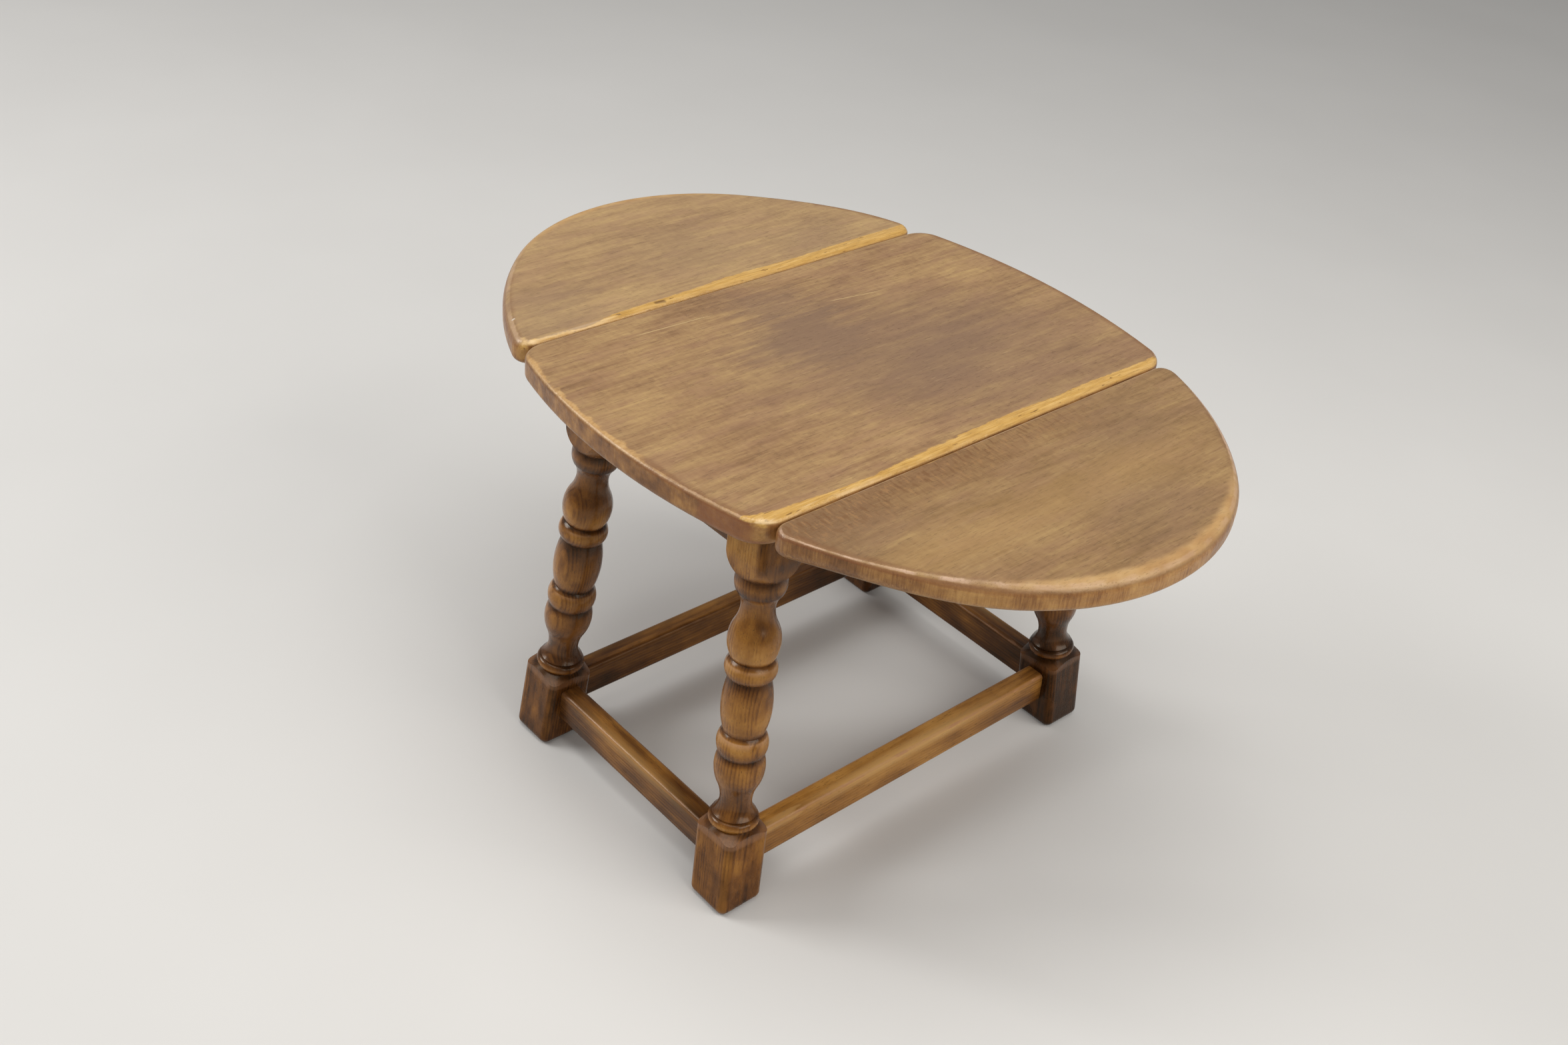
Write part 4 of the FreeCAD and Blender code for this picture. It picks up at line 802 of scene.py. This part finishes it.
cleat_oak = plain_finish("cleat_oak", ALONG_X, heart=(0.05, 0.08), shift=0.9)
strip_oak = plain_finish("strip_oak", ALONG_Y, heart=(0.06, 0.09), shift=1.9)
dress(cleat_oak, "fixing_cleat_front", "fixing_cleat_back")
dress(strip_oak, "knuckle_strip_left", "knuckle_strip_right")
for side_name, shift in (("left", 2.9), ("right", 3.9)):
    wing_oak = plain_finish(f"wing_{side_name}_oak", ALONG_Y, heart=(0.07, -0.05), shift=shift)
    dress(wing_oak, f"wing_{side_name}_front", f"wing_{side_name}_back")


# ---------------------------------------------------------------------------------------------
# Hinges, pins and screws. Pressed brass butt hinges screwed flat under the boards, steel rods
# that the wings turn on, and slotted steel screws, all dulled by age with tarnish in patches.
# ---------------------------------------------------------------------------------------------


def metal_finish(name, bright, dull, roughness_mean):
    """Rolled metal with tarnish in patches."""
    material, start = new_finish(name, {"Metallic": 1.0})
    place = start.place()
    patches = streaks(place, 0.006, 0.006, detail=4.0)
    rolled = streaks(place, 0.0005, 0.02)
    tarnish = (patches + (rolled - 0.5) * 0.5).rise(0.30, 0.75)
    roughness = roughness_mean + (tarnish - 0.5) * 0.22 + (rolled - 0.5) * 0.1
    relief = patches * 0.4 + rolled * 0.3
    lay_on(material, tarnish.between(bright, dull), roughness, relief, 0.00008)
    return material


brass = metal_finish("hinge_brass", paint(0.60, 0.42, 0.18), paint(0.42, 0.29, 0.13), 0.42)
steel = metal_finish("screw_steel", paint(0.50, 0.48, 0.45), paint(0.25, 0.22, 0.20), 0.40)
for side_name in SIDES:
    for end_name in ENDS:
        spot = f"{side_name}_{end_name}"
        dress(brass, f"hinge_panel_plate_{spot}", f"hinge_leaf_plate_{spot}", f"hinge_pin_{spot}")
        dress(steel, f"wing_pin_{spot}")
    dress(steel, f"hinge_screws_leaf_{side_name}")
dress(steel, "hinge_screws_panel", "cleat_screws", "strip_screws")


# ---------------------------------------------------------------------------------------------
# The room: a plain pale floor and soft light, most of it from overhead, and the camera.
# ---------------------------------------------------------------------------------------------

FLOOR_REACH = 9.0
WHITE = paint(1.0, 1.0, 1.0)
ROOM_LIGHT = 0.28
TABLE_MIDDLE = Vector((0, 0, 0.25))

floor_mesh = bpy.data.meshes.new("floor")
floor_mesh.from_pydata(
    [(-FLOOR_REACH, -FLOOR_REACH, 0), (FLOOR_REACH, -FLOOR_REACH, 0),
     (FLOOR_REACH, FLOOR_REACH, 0), (-FLOOR_REACH, FLOOR_REACH, 0)],
    [],
    [(0, 1, 2, 3)],
)
floor = bpy.data.objects.new("floor", floor_mesh)
bpy.context.scene.collection.objects.link(floor)
floor_finish, start = new_finish("pale_floor", {"Specular IOR Level": 0.2})
mottle = streaks(start.place(), 0.35, 0.35, detail=3.0)
floor_colour = mottle.between(paint(0.68, 0.665, 0.64), paint(0.73, 0.715, 0.69))
lay_on(floor_finish, floor_colour, 0.75 + mottle * 0.1, mottle, 0.0002)
floor_mesh.materials.append(floor_finish)

world = bpy.data.worlds.new("studio")
bpy.context.scene.world = world
world.use_nodes = True
background = world.node_tree.nodes["Background"]
background.inputs["Color"].default_value = WHITE
background.inputs["Strength"].default_value = ROOM_LIGHT


def soft_light(name, at, width, depth, power, colour):
    """A rectangular lamp aimed at the table."""
    lamp = bpy.data.lights.new(name, "AREA")
    lamp.shape = "RECTANGLE"
    lamp.size = width
    lamp.size_y = depth
    lamp.energy = power
    lamp.color = colour
    holder = bpy.data.objects.new(name, lamp)
    bpy.context.scene.collection.objects.link(holder)
    holder.location = at
    holder.rotation_euler = (TABLE_MIDDLE - Vector(at)).to_track_quat("-Z", "Y").to_euler()


soft_light(
    "overhead", at=(0.1, -0.2, 2.5), width=2.0, depth=1.6, power=29, colour=(1.0, 0.99, 0.97)
)
soft_light(
    "right_hand", at=(2.2, 0.5, 1.9), width=2.4, depth=1.4, power=36, colour=(1.0, 0.98, 0.95)
)
soft_light("window", at=(-2.4, -2.1, 2.2), width=1.5, depth=1.2, power=60, colour=(1.0, 1.0, 1.0))

SENSOR_MM = 36
LENS_MM = 38.33
CAMERA_AT = (0.84465, -0.89942, 1.06117)
CAMERA_YAW = math.radians(135.1)
CAMERA_PITCH = math.radians(34.21)
CAMERA_ROLL = math.radians(6.66)

ahead = Vector((
    math.cos(CAMERA_PITCH) * math.cos(CAMERA_YAW),
    math.cos(CAMERA_PITCH) * math.sin(CAMERA_YAW),
    -math.sin(CAMERA_PITCH),
))
level_right = ahead.cross(Vector((0, 0, 1))).normalized()
level_up = level_right.cross(ahead)
right = level_right * math.cos(CAMERA_ROLL) + level_up * math.sin(CAMERA_ROLL)
up = level_up * math.cos(CAMERA_ROLL) - level_right * math.sin(CAMERA_ROLL)
camera_axes = Matrix((right, up, -ahead)).transposed()
lens = bpy.data.cameras.new("camera")
lens.sensor_width = SENSOR_MM
lens.lens = LENS_MM
camera = bpy.data.objects.new("camera", lens)
bpy.context.scene.collection.objects.link(camera)
camera.matrix_world = Matrix.Translation(CAMERA_AT) @ camera_axes.to_4x4()
bpy.context.scene.camera = camera
bpy.context.scene.view_settings.view_transform = "Standard"
